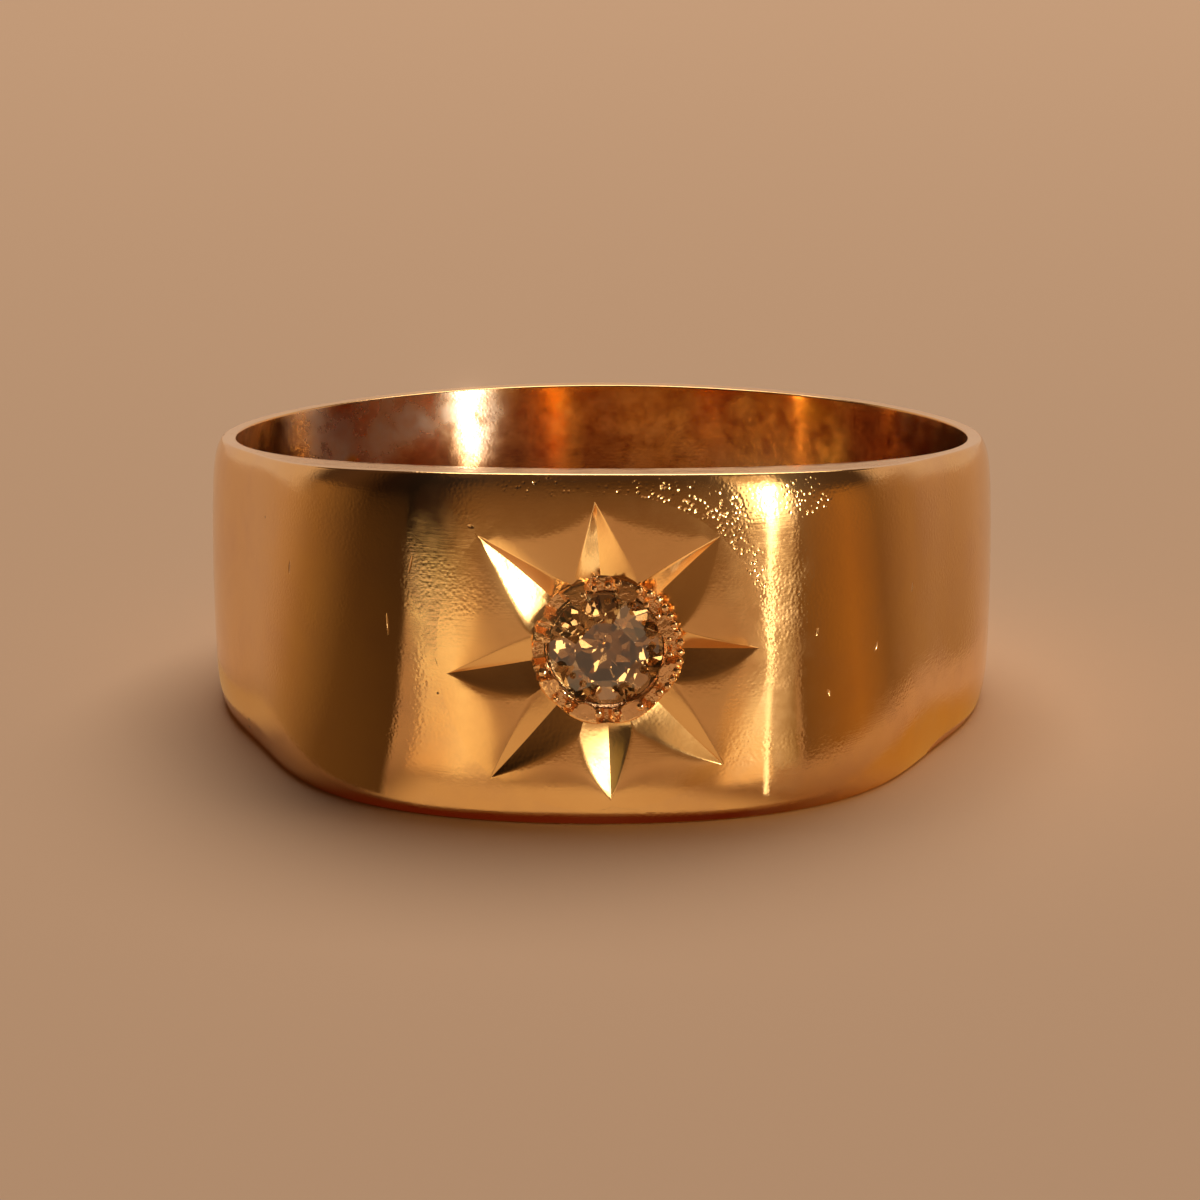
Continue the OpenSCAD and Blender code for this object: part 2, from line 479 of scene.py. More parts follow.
@dataclass(frozen=True)
class StarCut:
    """The engraved star round the stone, in mm. Each ray's scoop lies clockwise of it.

    A ray's valley rises by a power of the way to its tip, and beside a ray the
    scoops reach to a share of its length. The rounds soften the ridges and the
    scoops' outer edges, and uncut stands for a cut that stays above the face.
    """

    foot_r: float = 1.74
    ray_power: float = 1.3
    tip_margin: float = 0.1
    ridge_round: float = 0.02
    ridge_edge: float = 0.022
    scoop_round: float = 0.03
    scoop_least_round: float = 0.001
    scoop_share: float = 0.95
    scoop_power: float = 1.8
    uncut: float = -0.3
    ray_spread: float = 1.2
    ridge_fade: float = 3.0
    least_w: float = 0.004
    rays: tuple[Ray, ...] = (
        Ray(-4.0, 3.52, 0.62, 1.0, 0.84, 1.0, 0.17, 3.05),
        Ray(44.5, 3.72, 0.54, 1.2, 0.84, 1.7, 0.12, 2.9),
        Ray(90.0, 3.52, 0.50, 0.9, 0.72, 2.2, 0.12, 2.9),
        Ray(135.0, 3.87, 0.58, 1.2, 0.82, 1.3, 0.12, 2.9),
        Ray(178.0, 3.52, 0.58, 1.2, 0.72, 2.2, 0.12, 2.9),
        Ray(221.5, 4.02, 0.86, 1.5, 0.62, 1.2, 0.12, 3.0),
        Ray(261.0, 3.67, 0.74, 2.0, 0.62, 1.1, 0.12, 3.0),
        Ray(312.5, 3.97, 0.84, 1.1, 0.60, 0.9, 0.18, 3.0, 0.54),
    )

    def sector(self, index: int) -> tuple[Ray, Ray, float]:
        """Finds the two rays that bound a scoop.

        Args:
            index: number of the ray that the scoop follows clockwise.

        Returns:
            The ray, the next one clockwise and the angle between them in degrees.
        """
        ray = self.rays[index]
        following = self.rays[(index + 1) % len(self.rays)]
        return ray, following, (following.turn - ray.turn) % 360.0

    def scoop_depth(self, s: np.ndarray, angle: np.ndarray) -> np.ndarray:
        """Depth of the scoops between the rays.

        Args:
            s: distances from the middle of the stone.
            angle: directions in degrees, clockwise from the top.

        Returns:
            Depths in mm, 0 outside the scoops.
        """
        depth = np.zeros_like(s)
        for index in range(len(self.rays)):
            ray, following, span = self.sector(index)
            share = ((angle - ray.turn) % 360.0) / span
            inside = share < 1.0
            share = np.clip(share, 0.0, 1.0)
            ends = self.scoop_share * (ray.reach * (1 - share) + following.reach * share)
            middle = self.scoop_share * (ray.reach + following.reach) / 2 - ray.scoop_reach
            edge = ends - middle * (1 - np.abs(2 * share - 1) ** self.scoop_power)
            fall = 1 - (s - self.foot_r) / (edge - self.foot_r)
            blend = 0.5 - 0.5 * np.cos(2 * np.pi * share)
            least = self.scoop_least_round
            soft = self.scoop_round * (least + (1 - least) * blend)
            level = (fall + np.sqrt(fall * fall + soft)) / 2
            level = level - soft / 4 / np.sqrt(fall * fall + soft)
            neighbours = (self.rays[index - 1].scoop + ray.scoop) / 2
            at_end = (ray.scoop + following.scoop) / 2
            base = neighbours * (1 - share) + at_end * share
            amount = base * (1 - blend) + ray.scoop * blend
            depth = np.where(inside, amount * np.maximum(level, 0.0), depth)
        return depth

    def wall_width(self, ray: Ray, q: np.ndarray, right: bool) -> np.ndarray:
        """Half width of one wall of a ray.

        Args:
            ray: the ray.
            q: shares of its way from the collar to the tip.
            right: true for the wall on the side of larger angles.

        Returns:
            Widths in mm.
        """
        width = ray.right_w if right else ray.left_w
        full = ray.right_full if right else ray.left_full
        return width * (1 - np.clip(q, 0.0, 1.0) ** full)

    def depth(self, s: np.ndarray, angle: np.ndarray) -> np.ndarray:
        """Depth of the star below the face.

        Args:
            s: distances from the middle of the stone.
            angle: directions in degrees, clockwise from the top.

        Returns:
            Depths in mm, 0 where the face is untouched.
        """
        scoop = self.scoop_depth(s, angle)
        best = np.full_like(s, self.uncut)
        soft = np.zeros_like(s)
        for ray in self.rays:
            turn = np.radians(wrapped(angle - ray.turn))
            along = s * np.cos(turn)
            side = s * np.sin(turn)
            q = (along - self.foot_r) / (ray.reach - self.foot_r)
            valley = ray.depth * (1 - np.abs(q) ** self.ray_power * np.sign(q))
            width = np.where(
                side > 0,
                self.wall_width(ray, q, True),
                self.wall_width(ray, q, False),
            )
            share = np.abs(side) / np.maximum(width, self.least_w)
            rise = (valley - scoop) * (1 - share)
            within = (q < 1.0) & (np.abs(turn) < self.ray_spread)
            rise = np.where(within, rise, self.uncut)
            near = self.ridge_round * np.clip(self.ridge_fade * (1 - q), 0.0, 1.0)
            soft = np.where(rise > best, near, soft)
            best = np.maximum(best, rise)
        cut = (best + np.sqrt(best * best + soft * soft)) / 2
        return scoop + np.maximum(cut, 0.0)


@dataclass(frozen=True)
class Claw:
    """One grain of metal raised from the collar over the edge of the stone.

    The turn and the width are in degrees, the height and the reach in mm.
    """

    turn: float
    width: float
    height: float
    reach: float


@dataclass(frozen=True)
class Recess:
    """One dark pocket left between the collar and the foot of a ray.

    The turn and the width are in degrees, and the level is its depth in mm.
    """

    turn: float
    width: float
    level: float


@dataclass(frozen=True)
class Bead:
    """One round bead left by the graver: place round the stone and size, in mm."""

    turn: float
    ring_r: float
    radius: float
    level: float


@dataclass(frozen=True)
class Setting:
    """The collar, its claws and beads, the seat and the drilled hole, in mm.

    The collar climbs by rings of a radius and a share of its height, goes over
    the crest to the lip and hangs down to the wall of the seat. Flanks are the
    degrees over which a claw or a recess rises or sinks.
    """

    collar_r: float = 1.76
    seat_r: float = 1.35
    seat_top_r: float = 1.42
    top_level: float = 0.16
    notch_level: float = 0.4
    girdle_level: float = 0.52
    girdle_h: float = 0.05
    hole_r: float = 0.65
    seat_foot: float = 1.29
    claw_share: float = 0.95
    claw_taper: float = 0.25
    claw_flank: float = 4.0
    claw_outer: float = 0.35
    claw_grip: float = 0.62
    recess_flank: float = 3.0
    climb: tuple[tuple[float, float], ...] = (
        (1.735, 0.25), (1.725, 0.5), (1.71, 0.75), (1.69, 0.93),
    )
    crest_r: tuple[float, ...] = (1.66, 1.61, 1.56, 1.51, 1.46, 1.42)
    crest_w: float = 0.24
    lip_r: float = 1.41
    lip_drop: float = 0.035
    under_r: float = 1.405
    under_share: float = 0.9
    under_drop: float = 0.07
    under_rise: float = 0.2
    under_slope: float = 0.6
    wall_r: float = 1.385
    wall_rise: float = 0.04
    ledge_drop: float = 0.03
    cone_shares: tuple[float, ...] = (0.33, 0.66, 1.0)
    claws: tuple[Claw, ...] = (
        Claw(20.0, 17.0, 0.13, 0.14),
        Claw(67.0, 19.0, 0.09, 0.10),
        Claw(110.0, 18.0, 0.10, 0.11),
        Claw(156.0, 19.0, 0.11, 0.12),
        Claw(199.0, 18.0, 0.13, 0.14),
        Claw(238.0, 14.0, 0.14, 0.13),
        Claw(283.0, 9.0, 0.10, 0.12),
        Claw(299.0, 7.0, 0.12, 0.10),
        Claw(334.0, 15.0, 0.13, 0.14),
    )
    recesses: tuple[Recess, ...] = (
        Recess(268.0, 10.0, 0.68),
        Recess(314.0, 9.0, 0.6),
        Recess(179.0, 5.0, 0.5),
    )
    beads: tuple[Bead, ...] = (
        Bead(28.0, 1.67, 0.10, 0.11),
        Bead(36.5, 1.71, 0.11, 0.11),
        Bead(44.5, 1.72, 0.11, 0.13),
        Bead(52.5, 1.71, 0.10, 0.12),
        Bead(60.0, 1.70, 0.10, 0.11),
        Bead(67.5, 1.71, 0.095, 0.11),
        Bead(74.5, 1.72, 0.095, 0.11),
        Bead(82.0, 1.72, 0.10, 0.12),
        Bead(90.0, 1.71, 0.095, 0.13),
        Bead(97.5, 1.70, 0.095, 0.13),
        Bead(105.0, 1.68, 0.09, 0.12),
        Bead(112.0, 1.66, 0.09, 0.11),
        Bead(119.0, 1.63, 0.095, 0.11),
        Bead(127.0, 1.56, 0.11, 0.12),
        Bead(40.0, 1.46, 0.09, 0.14),
        Bead(55.0, 1.47, 0.085, 0.14),
        Bead(78.0, 1.48, 0.08, 0.14),
        Bead(92.0, 1.47, 0.09, 0.15),
        Bead(2.0, 1.55, 0.09, 0.14),
        Bead(10.0, 1.64, 0.085, 0.14),
        Bead(350.0, 1.50, 0.09, 0.14),
        Bead(339.0, 1.44, 0.11, 0.15),
        Bead(187.0, 1.46, 0.11, 0.14),
        Bead(170.0, 1.44, 0.095, 0.15),
        Bead(148.0, 1.50, 0.11, 0.12),
        Bead(215.0, 1.50, 0.09, 0.14),
        Bead(226.0, 1.60, 0.08, 0.15),
        Bead(252.0, 1.52, 0.13, 0.17),
    )

    def top(self, angle: np.ndarray, radius: np.ndarray) -> np.ndarray:
        """Height of the collar's top: claws stand up between notches at the rays.

        Args:
            angle: directions in degrees, clockwise from the top.
            radius: distances from the stone's axis.

        Returns:
            Heights in mm above the tangent plane at the stone.
        """
        level = np.full_like(angle, -self.notch_level)
        inner = np.clip((self.collar_r - radius) / (self.collar_r - self.seat_top_r), 0, 1)
        for claw in self.claws:
            away = np.abs(wrapped(angle - claw.turn))
            half = claw.width * (self.claw_share - self.claw_taper * inner)
            flank = np.clip((half - away) / self.claw_flank, 0.0, 1.0)
            flank = flank * flank * (3 - 2 * flank)
            rise = self.claw_outer + (1 - self.claw_outer) * inner
            crest = -self.top_level + claw.height * rise
            level = np.maximum(level, -self.notch_level + flank * (crest + self.notch_level))
        for recess in self.recesses:
            away = np.abs(wrapped(angle - recess.turn))
            sunk = np.clip((recess.width - away) / self.recess_flank, 0.0, 1.0)
            level = level - sunk * np.maximum(level + recess.level, 0.0)
        return level

    def overhang(self, angle: np.ndarray) -> np.ndarray:
        """How far the claws reach inwards over the stone.

        Args:
            angle: directions in degrees, clockwise from the top.

        Returns:
            Reaches in mm.
        """
        reach = np.zeros_like(angle)
        for claw in self.claws:
            away = np.abs(wrapped(angle - claw.turn))
            flank = np.clip(1 - (away / (claw.width * self.claw_grip)) ** 2, 0.0, 1.0)
            reach = np.maximum(reach, claw.reach * flank)
        return reach


@dataclass
class Band:
    """The gold band: one closed surface from the worn face to the finger hole.

    The window is the part of the face that gives way to the star. Of the cells
    between two rays, the wall edges keep the places that ridge_cells names.
    """

    form: BandForm
    star: StarCut
    setting: Setting
    stone_turn: float = 2.2
    stations: int = 480
    rows: int = 46
    window_t: float = 0.92
    window_first: int = 214
    window_columns: int = 58
    corner_r: float = 0.06
    inner_r: float = 0.05
    corner_out: float = 0.006
    corner_in: float = 0.8
    corner_steps: int = 6
    lip_steps: int = 2
    rim_steps: int = 4
    bore_corner_steps: int = 4
    star_rings: int = 44
    cells: int = 26
    ridge_cells: tuple[int, int] = (8, 18)
    ridge_steps: int = 12
    ridge_limit: float = 0.7
    valley_margin: float = 3.0
    middle_margin: float = 3.4
    window_shares: tuple[float, ...] = (0.0, 0.2, 0.4, 0.6, 0.8)
    hole_shares: tuple[float, ...] = (
        0.0, 0.012, 0.04, 0.1, 0.2, 0.34, 0.5, 0.66, 0.83, 1.0,
    )
    section_r: float = 1.0
    bead_sides: int = 20
    bead_rings: int = 12
    spin_weld: float = 2e-6
    join_weld: float = 1e-7
    smooth_angle: float = 28.0
    materials: list[bpy.types.Material] = field(default_factory=list)

    @property
    def lines(self) -> int:
        """Number of lines that run out from the stone."""
        return self.cells * len(self.star.rays)

    @property
    def stone_face(self) -> float:
        """Radius of the face on the axis of the stone."""
        return float(self.form.face_r(np.array(self.stone_turn), np.array(0.0)))

    def station_angles(self) -> np.ndarray:
        """Angles of the stations round the band, from the back through the front."""
        return 360.0 * np.arange(self.stations) / self.stations - 180.0

    def window_rows(self) -> np.ndarray:
        """Shares of the half width at the rows across the face."""
        return np.linspace(-self.window_t, self.window_t, self.rows + 1)

    def edge_profile(self, a: np.ndarray, sign: float) -> np.ndarray:
        """Points from the last row of the face over the rim to the first row of the bore.

        Args:
            a: station angles.
            sign: 1 for the upper rim and -1 for the lower one.

        Returns:
            Array of stations by points by (radius, level).
        """
        form = self.form
        points = []

        def level(r: np.ndarray) -> np.ndarray:
            """Level of the rim at radius r."""
            side = np.full_like(r, sign)
            return sign * form.half(-r * np.cos(np.radians(a)), side)

        edge_r = form.face_r(a, np.full_like(a, 1.0))
        full = level(edge_r)
        start_t = 1 - self.corner_r / np.abs(full)
        for step in range(1, self.lip_steps + 1):
            share = step / self.lip_steps
            t = self.window_t + (start_t - self.window_t) * share
            r = form.face_r(a, t)
            points.append((r, t * level(r)))
        start = points[-1]
        corner = (edge_r + self.corner_out, full)
        end_r = edge_r - self.corner_r * self.corner_in
        end = (end_r, level(end_r))
        for step in range(1, self.corner_steps + 1):
            share = step / self.corner_steps
            points.append(tuple(map(bent, start, corner, end, (share, share))))
        inner = form.bore_r + self.inner_r
        for step in range(1, self.rim_steps + 1):
            share = step / self.rim_steps
            r = end_r * (1 - share) + inner * share
            points.append((r, level(r)))
        bore = np.full_like(a, form.bore_r)
        start = points[-1]
        corner = (bore, level(bore))
        end = (bore, corner[1] - sign * self.inner_r)
        for step in range(1, self.bore_corner_steps + 1):
            share = step / self.bore_corner_steps
            points.append(tuple(map(bent, start, corner, end, (share, share))))
        return np.stack([np.stack(p, axis=-1) for p in points], axis=1)

    def sections(self) -> np.ndarray:
        """Closed sections of the band at every station, in the band's own frame.

        Returns:
            Array of stations by points by (x, y, z).
        """
        form = self.form
        a = self.station_angles()
        turn = np.radians(a)[:, None]
        t = self.window_rows()
        grid_a, grid_t = np.meshgrid(a, t, indexing="ij")
        face = form.on_face(grid_a, grid_t, np.zeros_like(grid_a))
        bore = form.on_bore(grid_a, grid_t)[:, ::-1]
        turned = []
        for sign in (1.0, -1.0):
            profile = self.edge_profile(a, sign)
            x = profile[..., 0] * np.sin(turn)
            y = -profile[..., 0] * np.cos(turn)
            turned.append(np.stack([x, y, profile[..., 1]], axis=-1))
        upper, lower = turned
        return np.concatenate([face, upper, bore, lower[:, ::-1]], axis=1)

    @property
    def edge_points(self) -> int:
        """Number of points of a section between the face and the bore."""
        return self.lip_steps + self.corner_steps + self.rim_steps + self.bore_corner_steps

    @property
    def section_points(self) -> int:
        """Number of points of a closed section."""
        return 2 * (self.rows + 1) + 2 * self.edge_points

    def add_hoop(self) -> bpy.types.Object:
        """Spins a ring section into the band and leaves windows for star and hole.

        Returns:
            The open band.
        """
        deselect_all()
        major = (self.form.bore_r + self.section_r) * MM
        bpy.ops.mesh.primitive_circle_add(
            vertices=self.section_points,
            radius=self.section_r * MM,
            location=(major, 0.0, 0.0),
            rotation=(math.pi / 2, 0.0, 0.0),
        )
        hoop = bpy.context.object
        hoop.name = "hoop"
        bpy.ops.object.transform_apply(location=True, rotation=True, scale=True)
        bpy.ops.object.mode_set(mode="EDIT")
        bpy.ops.mesh.select_all(action="SELECT")
        bpy.ops.mesh.spin(
            steps=self.stations,
            angle=2 * math.pi,
            center=(0.0, 0.0, 0.0),
            axis=(0.0, 0.0, 1.0),
        )
        bpy.ops.mesh.select_all(action="SELECT")
        bpy.ops.mesh.remove_doubles(threshold=self.spin_weld)
        bpy.ops.mesh.normals_make_consistent(inside=False)
        object_mode()
        self.dress(hoop)
        mesh = hoop.data
        points = read_points(mesh)
        # Station 0 is at the back, and +X lies three quarters of a turn on.
        around = np.arctan2(points[:, 1], points[:, 0])
        station = np.rint(around / (2 * np.pi) * self.stations).astype(int)
        station = (station + 3 * self.stations // 4) % self.stations
        # Row 0 is at the lower edge of the window, half its rows under the middle.
        out = np.hypot(points[:, 0], points[:, 1]) - major
        lean = np.arctan2(points[:, 2], out)
        row = np.rint(lean / (2 * np.pi) * self.section_points).astype(int)
        row = (row + self.rows // 2) % self.section_points
        write_points(mesh, self.form.laid(self.sections()[station, row]))
        self.open_windows(hoop, station, row)
        return hoop

    def open_windows(
        self, hoop: bpy.types.Object, stations: np.ndarray, rows: np.ndarray
    ) -> None:
        """Deletes the faces where the star and the drilled hole come.

        Args:
            hoop: the band.
            stations: station of each vertex.
            rows: row of each vertex in its section.
        """
        last = self.window_first + self.window_columns
        bore_first = self.rows + 1 + self.edge_points
        bore_last = bore_first + self.rows
        inside_first = bore_first - self.bore_corner_steps // 2
        inside_last = bore_last + self.bore_corner_steps // 2
        clear_selection(hoop, "FACE")
        for polygon in hoop.data.polygons:
            corners = list(polygon.vertices)
            s = stations[corners]
            r = rows[corners]
            near = s.min() >= self.window_first and s.max() <= last
            on_face = r.max() <= self.rows
            on_bore = r.min() >= bore_first and r.max() <= bore_last
            polygon.select = bool(near and (on_face or on_bore))
            inner = r.min() >= inside_first and r.max() <= inside_last
            polygon.material_index = (Zone.INSIDE if inner else Zone.FACE).value
        bpy.ops.object.mode_set(mode="EDIT")
        bpy.ops.mesh.delete(type="FACE")
        object_mode()

    def window_loop(self) -> tuple[np.ndarray, np.ndarray]:
        """Follows the rim of the window clockwise from the first ray.

        Returns:
            Angles and shares of the half width at every vertex of the rim.
        """
        a = self.station_angles()
        last = self.window_first + self.window_columns
        columns = a[self.window_first : last + 1]
        t = self.window_rows()
        top = [(c, t[-1]) for c in columns[:-1]]
        right = [(columns[-1], r) for r in t[::-1][:-1]]
        bottom = [(c, t[0]) for c in columns[::-1][:-1]]
        left = [(columns[0], r) for r in t[:-1]]
        loop = np.array(top + right + bottom + left)
        u = (loop[:, 0] - self.stone_turn) * math.pi / 180 * -self.form.front_y
        v = loop[:, 1] * self.form.front_w / 2
        bearing = np.degrees(np.arctan2(u, v))
        gap = np.abs(wrapped(bearing - self.star.rays[0].turn))
        gap = np.where(loop[:, 1] == t[-1], gap, 360.0)
        loop = np.roll(loop, -int(np.argmin(gap)), axis=0)
        return loop[:, 0], loop[:, 1]

    def to_face(self, s: np.ndarray, angle: np.ndarray) -> tuple[np.ndarray, np.ndarray]:
        """Brings places round the stone to the face.

        Args:
            s: distances from the middle of the stone.
            angle: directions in degrees, clockwise from the top.

        Returns:
            Angles round the band in degrees and shares of the half width.
        """
        form = self.form
        u = s * np.sin(np.radians(angle))
        v = s * np.cos(np.radians(angle))
        a = self.stone_turn + np.degrees(np.arcsin(u / self.stone_face))
        y = -form.face_r(a, np.zeros_like(a)) * np.cos(np.radians(a))
        t = v / form.half(y, v)
        return a, t

    def star_lines(self, share: float) -> tuple[np.ndarray, np.ndarray]:
        """Distances and directions of all lines at one ring of the star.

        The lines keep to each ray's valley and to the edges of its walls.

        Args:
            share: 0 at the collar and 1 just past the tips.

        Returns:
            Distances from the stone and directions in degrees.
        """
        star = self.star
        far, directions = [], []
        for index in range(len(star.rays)):
            ray, following, span = star.sector(index)
            j = np.arange(self.cells) / self.cells
            ends = ray.reach * (1 - j) + following.reach * j + star.tip_margin
            s = star.foot_r + share * (ends - star.foot_r)
            edge = np.degrees(star.ridge_edge / s)
            right = self.ridge_angle(ray, s, True)
            left = span - self.ridge_angle(following, s, False)
            middle = (right + left) / 2
            least = self.middle_margin * edge
            right = np.minimum(right, middle - least)
            left = np.maximum(left, middle + least)
            right = np.maximum(right, self.valley_margin * edge)
            left = np.minimum(left, span - self.valley_margin * edge)
            walls = [right - edge, right, right + edge, left - edge, left, left + edge]
            stops = np.stack([0 * s, *walls, span + 0 * s])
            beside = [cell + step for cell in self.ridge_cells for step in (-1, 0, 1)]
            places = [0, *beside, self.cells]
            turn = [np.interp(k, places, stops[:, k]) for k in range(self.cells)]
            far.append(s)
            directions.append(ray.turn + np.array(turn))
        return np.concatenate(far), np.concatenate(directions)

    def ridge_angle(self, ray: Ray, s: np.ndarray, right: bool) -> np.ndarray:
        """Angle between a ray's valley and the edge of one of its walls.

        Args:
            ray: the ray.
            s: distances from the middle of the stone.
            right: true for the wall on the side of larger angles.

        Returns:
            Angles in degrees.
        """
        turn = np.zeros_like(s)
        for _ in range(self.ridge_steps):
            along = s * np.cos(turn)
            q = (along - self.star.foot_r) / (ray.reach - self.star.foot_r)
            width = self.star.wall_width(ray, q, right)
            found = np.arcsin(np.clip(width / s, 0.0, self.ridge_limit))
            turn = 0.5 * turn + 0.5 * found
        return np.degrees(turn)

    def sleeve_rings(self) -> tuple[list[np.ndarray], list[Zone | None]]:
        """Rings of points from the window in the face to the window in the bore.

        Returns:
            Rings in the band's own frame, and the zone of the strip inside each.
        """
        form, star, setting = self.form, self.star, self.setting
        loop_a, loop_t = self.window_loop()
        s, angle = self.star_lines(1.0)
        tip_a, tip_t = self.to_face(s, angle)
        rings: list[np.ndarray] = []
        zones: list[Zone | None] = []
        for share in self.window_shares:
            a = loop_a * (1 - share) + tip_a * share
            t = loop_t * (1 - share) + tip_t * share
            rings.append(form.on_face(a, t, np.zeros_like(a)))
            zones.append(Zone.FACE)
        for ring in range(self.star_rings + 1):
            share = 1.0 - ring / self.star_rings
            s, angle = self.star_lines(share)
            a, t = self.to_face(s, angle)
            rings.append(form.on_face(a, t, star.depth(s, angle)))
            zones.append(None)
        zones[-1] = Zone.SETTING
        rings += self.setting_rings(angle)
        zones += [Zone.SETTING] * (len(rings) - len(zones))
        even = self.even_angles()
        hole = self.level_ring(even, np.full_like(even, setting.hole_r), 0 * even)
        hole_a = np.degrees(np.arcsin(hole[:, 0] / form.bore_r))
        hole_y = -form.bore_r * np.cos(np.radians(hole_a))
        hole_t = hole[:, 2] / form.half(hole_y, hole[:, 2])
        for share in self.hole_shares:
            a = hole_a * (1 - share) + loop_a * share
            t = hole_t * (1 - share) + loop_t * share
            rings.append(form.on_bore(a, t))
            zones.append(Zone.INSIDE)
        return rings, zones

    def even_angles(self) -> np.ndarray:
        """Directions spaced evenly round the stone, from the first ray clockwise."""
        return self.star.rays[0].turn + 360.0 * np.arange(self.lines) / self.lines

    def level_ring(
        self, angle: np.ndarray, radius: np.ndarray, height: np.ndarray
    ) -> np.ndarray:
        """Places a ring about the stone's axis.

        Args:
            angle: directions in degrees, clockwise from the top.
            radius: distances from the axis.
            height: heights above the tangent plane at the stone.

        Returns:
            Points in the band's own frame.
        """
        u = radius * np.sin(np.radians(angle))
        v = radius * np.cos(np.radians(angle))
        out = self.stone_face + height
        turn = math.radians(self.stone_turn)
        x = u * math.cos(turn) + out * math.sin(turn)
        y = u * math.sin(turn) - out * math.cos(turn)
        return np.stack([x, y, v], axis=-1)

    def setting_rings(self, angle: np.ndarray) -> list[np.ndarray]:
        """Rings from the foot of the collar over its top and down the seat.

        Args:
            angle: directions of the lines at the foot of the collar.

        Returns:
            Rings in the band's own frame.
        """
        setting = self.setting
        even = self.even_angles()
        shift = wrapped(even - angle)
        rings = []
        s = np.full_like(angle, self.star.foot_r)
        foot = self.form.on_face(*self.to_face(s, angle), self.star.depth(s, angle))
        turn = math.radians(self.stone_turn)
        foot_out = foot[:, 0] * math.sin(turn) - foot[:, 1] * math.cos(turn)
        foot_h = foot_out - self.stone_face
        for step, (radius, share) in enumerate(setting.climb):
            place = angle + shift * (step + 1) / (len(setting.climb) + 1)
            top = setting.top(place, np.full_like(place, radius))
            level = foot_h * (1 - share) + top * share
            rings.append(self.level_ring(place, np.full_like(place, radius), level))
        over = setting.overhang(even)
        for radius in setting.crest_r:
            place = np.full_like(even, radius)
            hang = over * (setting.crest_r[0] - radius) / setting.crest_w
            rings.append(self.level_ring(even, place - hang, setting.top(even, place)))
        girdle = -setting.girdle_level
        top = setting.top(even, np.full_like(even, setting.crest_r[-1]))
        rings.append(self.level_ring(even, setting.lip_r - over, top - setting.lip_drop))
        hollow = girdle + setting.under_rise + setting.under_slope * over
        under = np.minimum(top - setting.under_drop, hollow)
        inward = setting.under_r - setting.under_share * over
        rings.append(self.level_ring(even, inward, under))
        still = 0 * even
        rings.append(
            self.level_ring(even, still + setting.wall_r, still + girdle + setting.wall_rise)
        )
        ledge = girdle - setting.girdle_h - setting.ledge_drop
        rings.append(self.level_ring(even, still + setting.seat_r, still + ledge))
        for share in setting.cone_shares:
            radius = setting.seat_r * (1 - share) + setting.hole_r * share
            level = ledge * (1 - share) - setting.seat_foot * share
            rings.append(self.level_ring(even, still + radius, still + level))
        return rings

    def add_sleeve(self) -> bpy.types.Object:
        """Turns a globe with open poles into the star, the setting and the drilled hole.

        Returns:
            The sleeve that joins the two windows of the hoop.
        """
        rings, zones = self.sleeve_rings()
        deselect_all()
        count = len(rings)
        bpy.ops.mesh.primitive_uv_sphere_add(
            segments=self.lines, ring_count=count + 1, radius=1.0
        )
        sleeve = bpy.context.object
        sleeve.name = "sleeve"
        self.dress(sleeve)
        mesh = sleeve.data
        clear_selection(sleeve, "VERT")
        poles = max(vertex.co.z for vertex in mesh.vertices) - 1e-6
        for vertex in mesh.vertices:
            vertex.select = abs(vertex.co.z) > poles
        bpy.ops.object.mode_set(mode="EDIT")
        bpy.ops.mesh.delete(type="VERT")
        object_mode()
        points = read_points(mesh)
        polar = np.arccos(np.clip(points[:, 2], -1, 1))
        ring = np.rint(polar / np.pi * (count + 1)).astype(int) - 1
        around = np.arctan2(points[:, 1], points[:, 0])
        line = np.rint(around / (2 * np.pi) * self.lines).astype(int) % self.lines
        write_points(mesh, self.form.laid(np.stack(rings)[ring, line]))
        for polygon in mesh.polygons:
            corners = list(polygon.vertices)
            zone = zones[int(ring[corners].min())]
            if zone is None:
                zone = self.cut_zone(line[corners])
            polygon.material_index = zone.value
        return sleeve

    def cut_zone(self, line: np.ndarray) -> Zone:
        """Tells the zone of a face of the star.

        Args:
            line: numbers of the lines at its corners.

        Returns:
            The zone that lies between these lines.
        """
        cell = sorted(int(k) % self.cells for k in line)
        low, high = cell[0], cell[-1]
        first, last = self.ridge_cells
        between = high - low <= 1 and first <= low and high <= last
        return Zone.SCOOP if between else Zone.CUT

    def add_beads(self) -> list[bpy.types.Object]:
        """Models a round bead at every place on the collar.

        Returns:
            The beads.
        """
        beads = []
        for number, bead in enumerate(self.setting.beads):
            deselect_all()
            bpy.ops.mesh.primitive_uv_sphere_add(
                segments=self.bead_sides, ring_count=self.bead_rings, radius=bead.radius * MM
            )
            ball = bpy.context.object
            ball.name = f"bead_{number + 1}"
            self.dress(ball)
            centre = self.level_ring(
                np.array([bead.turn]), np.array([bead.ring_r]), np.array([-bead.level])
            )
            place = self.form.laid(centre)[0]
            write_points(ball.data, read_points(ball.data) + place)
            for polygon in ball.data.polygons:
                polygon.material_index = Zone.SETTING.value
            beads.append(ball)
        return beads

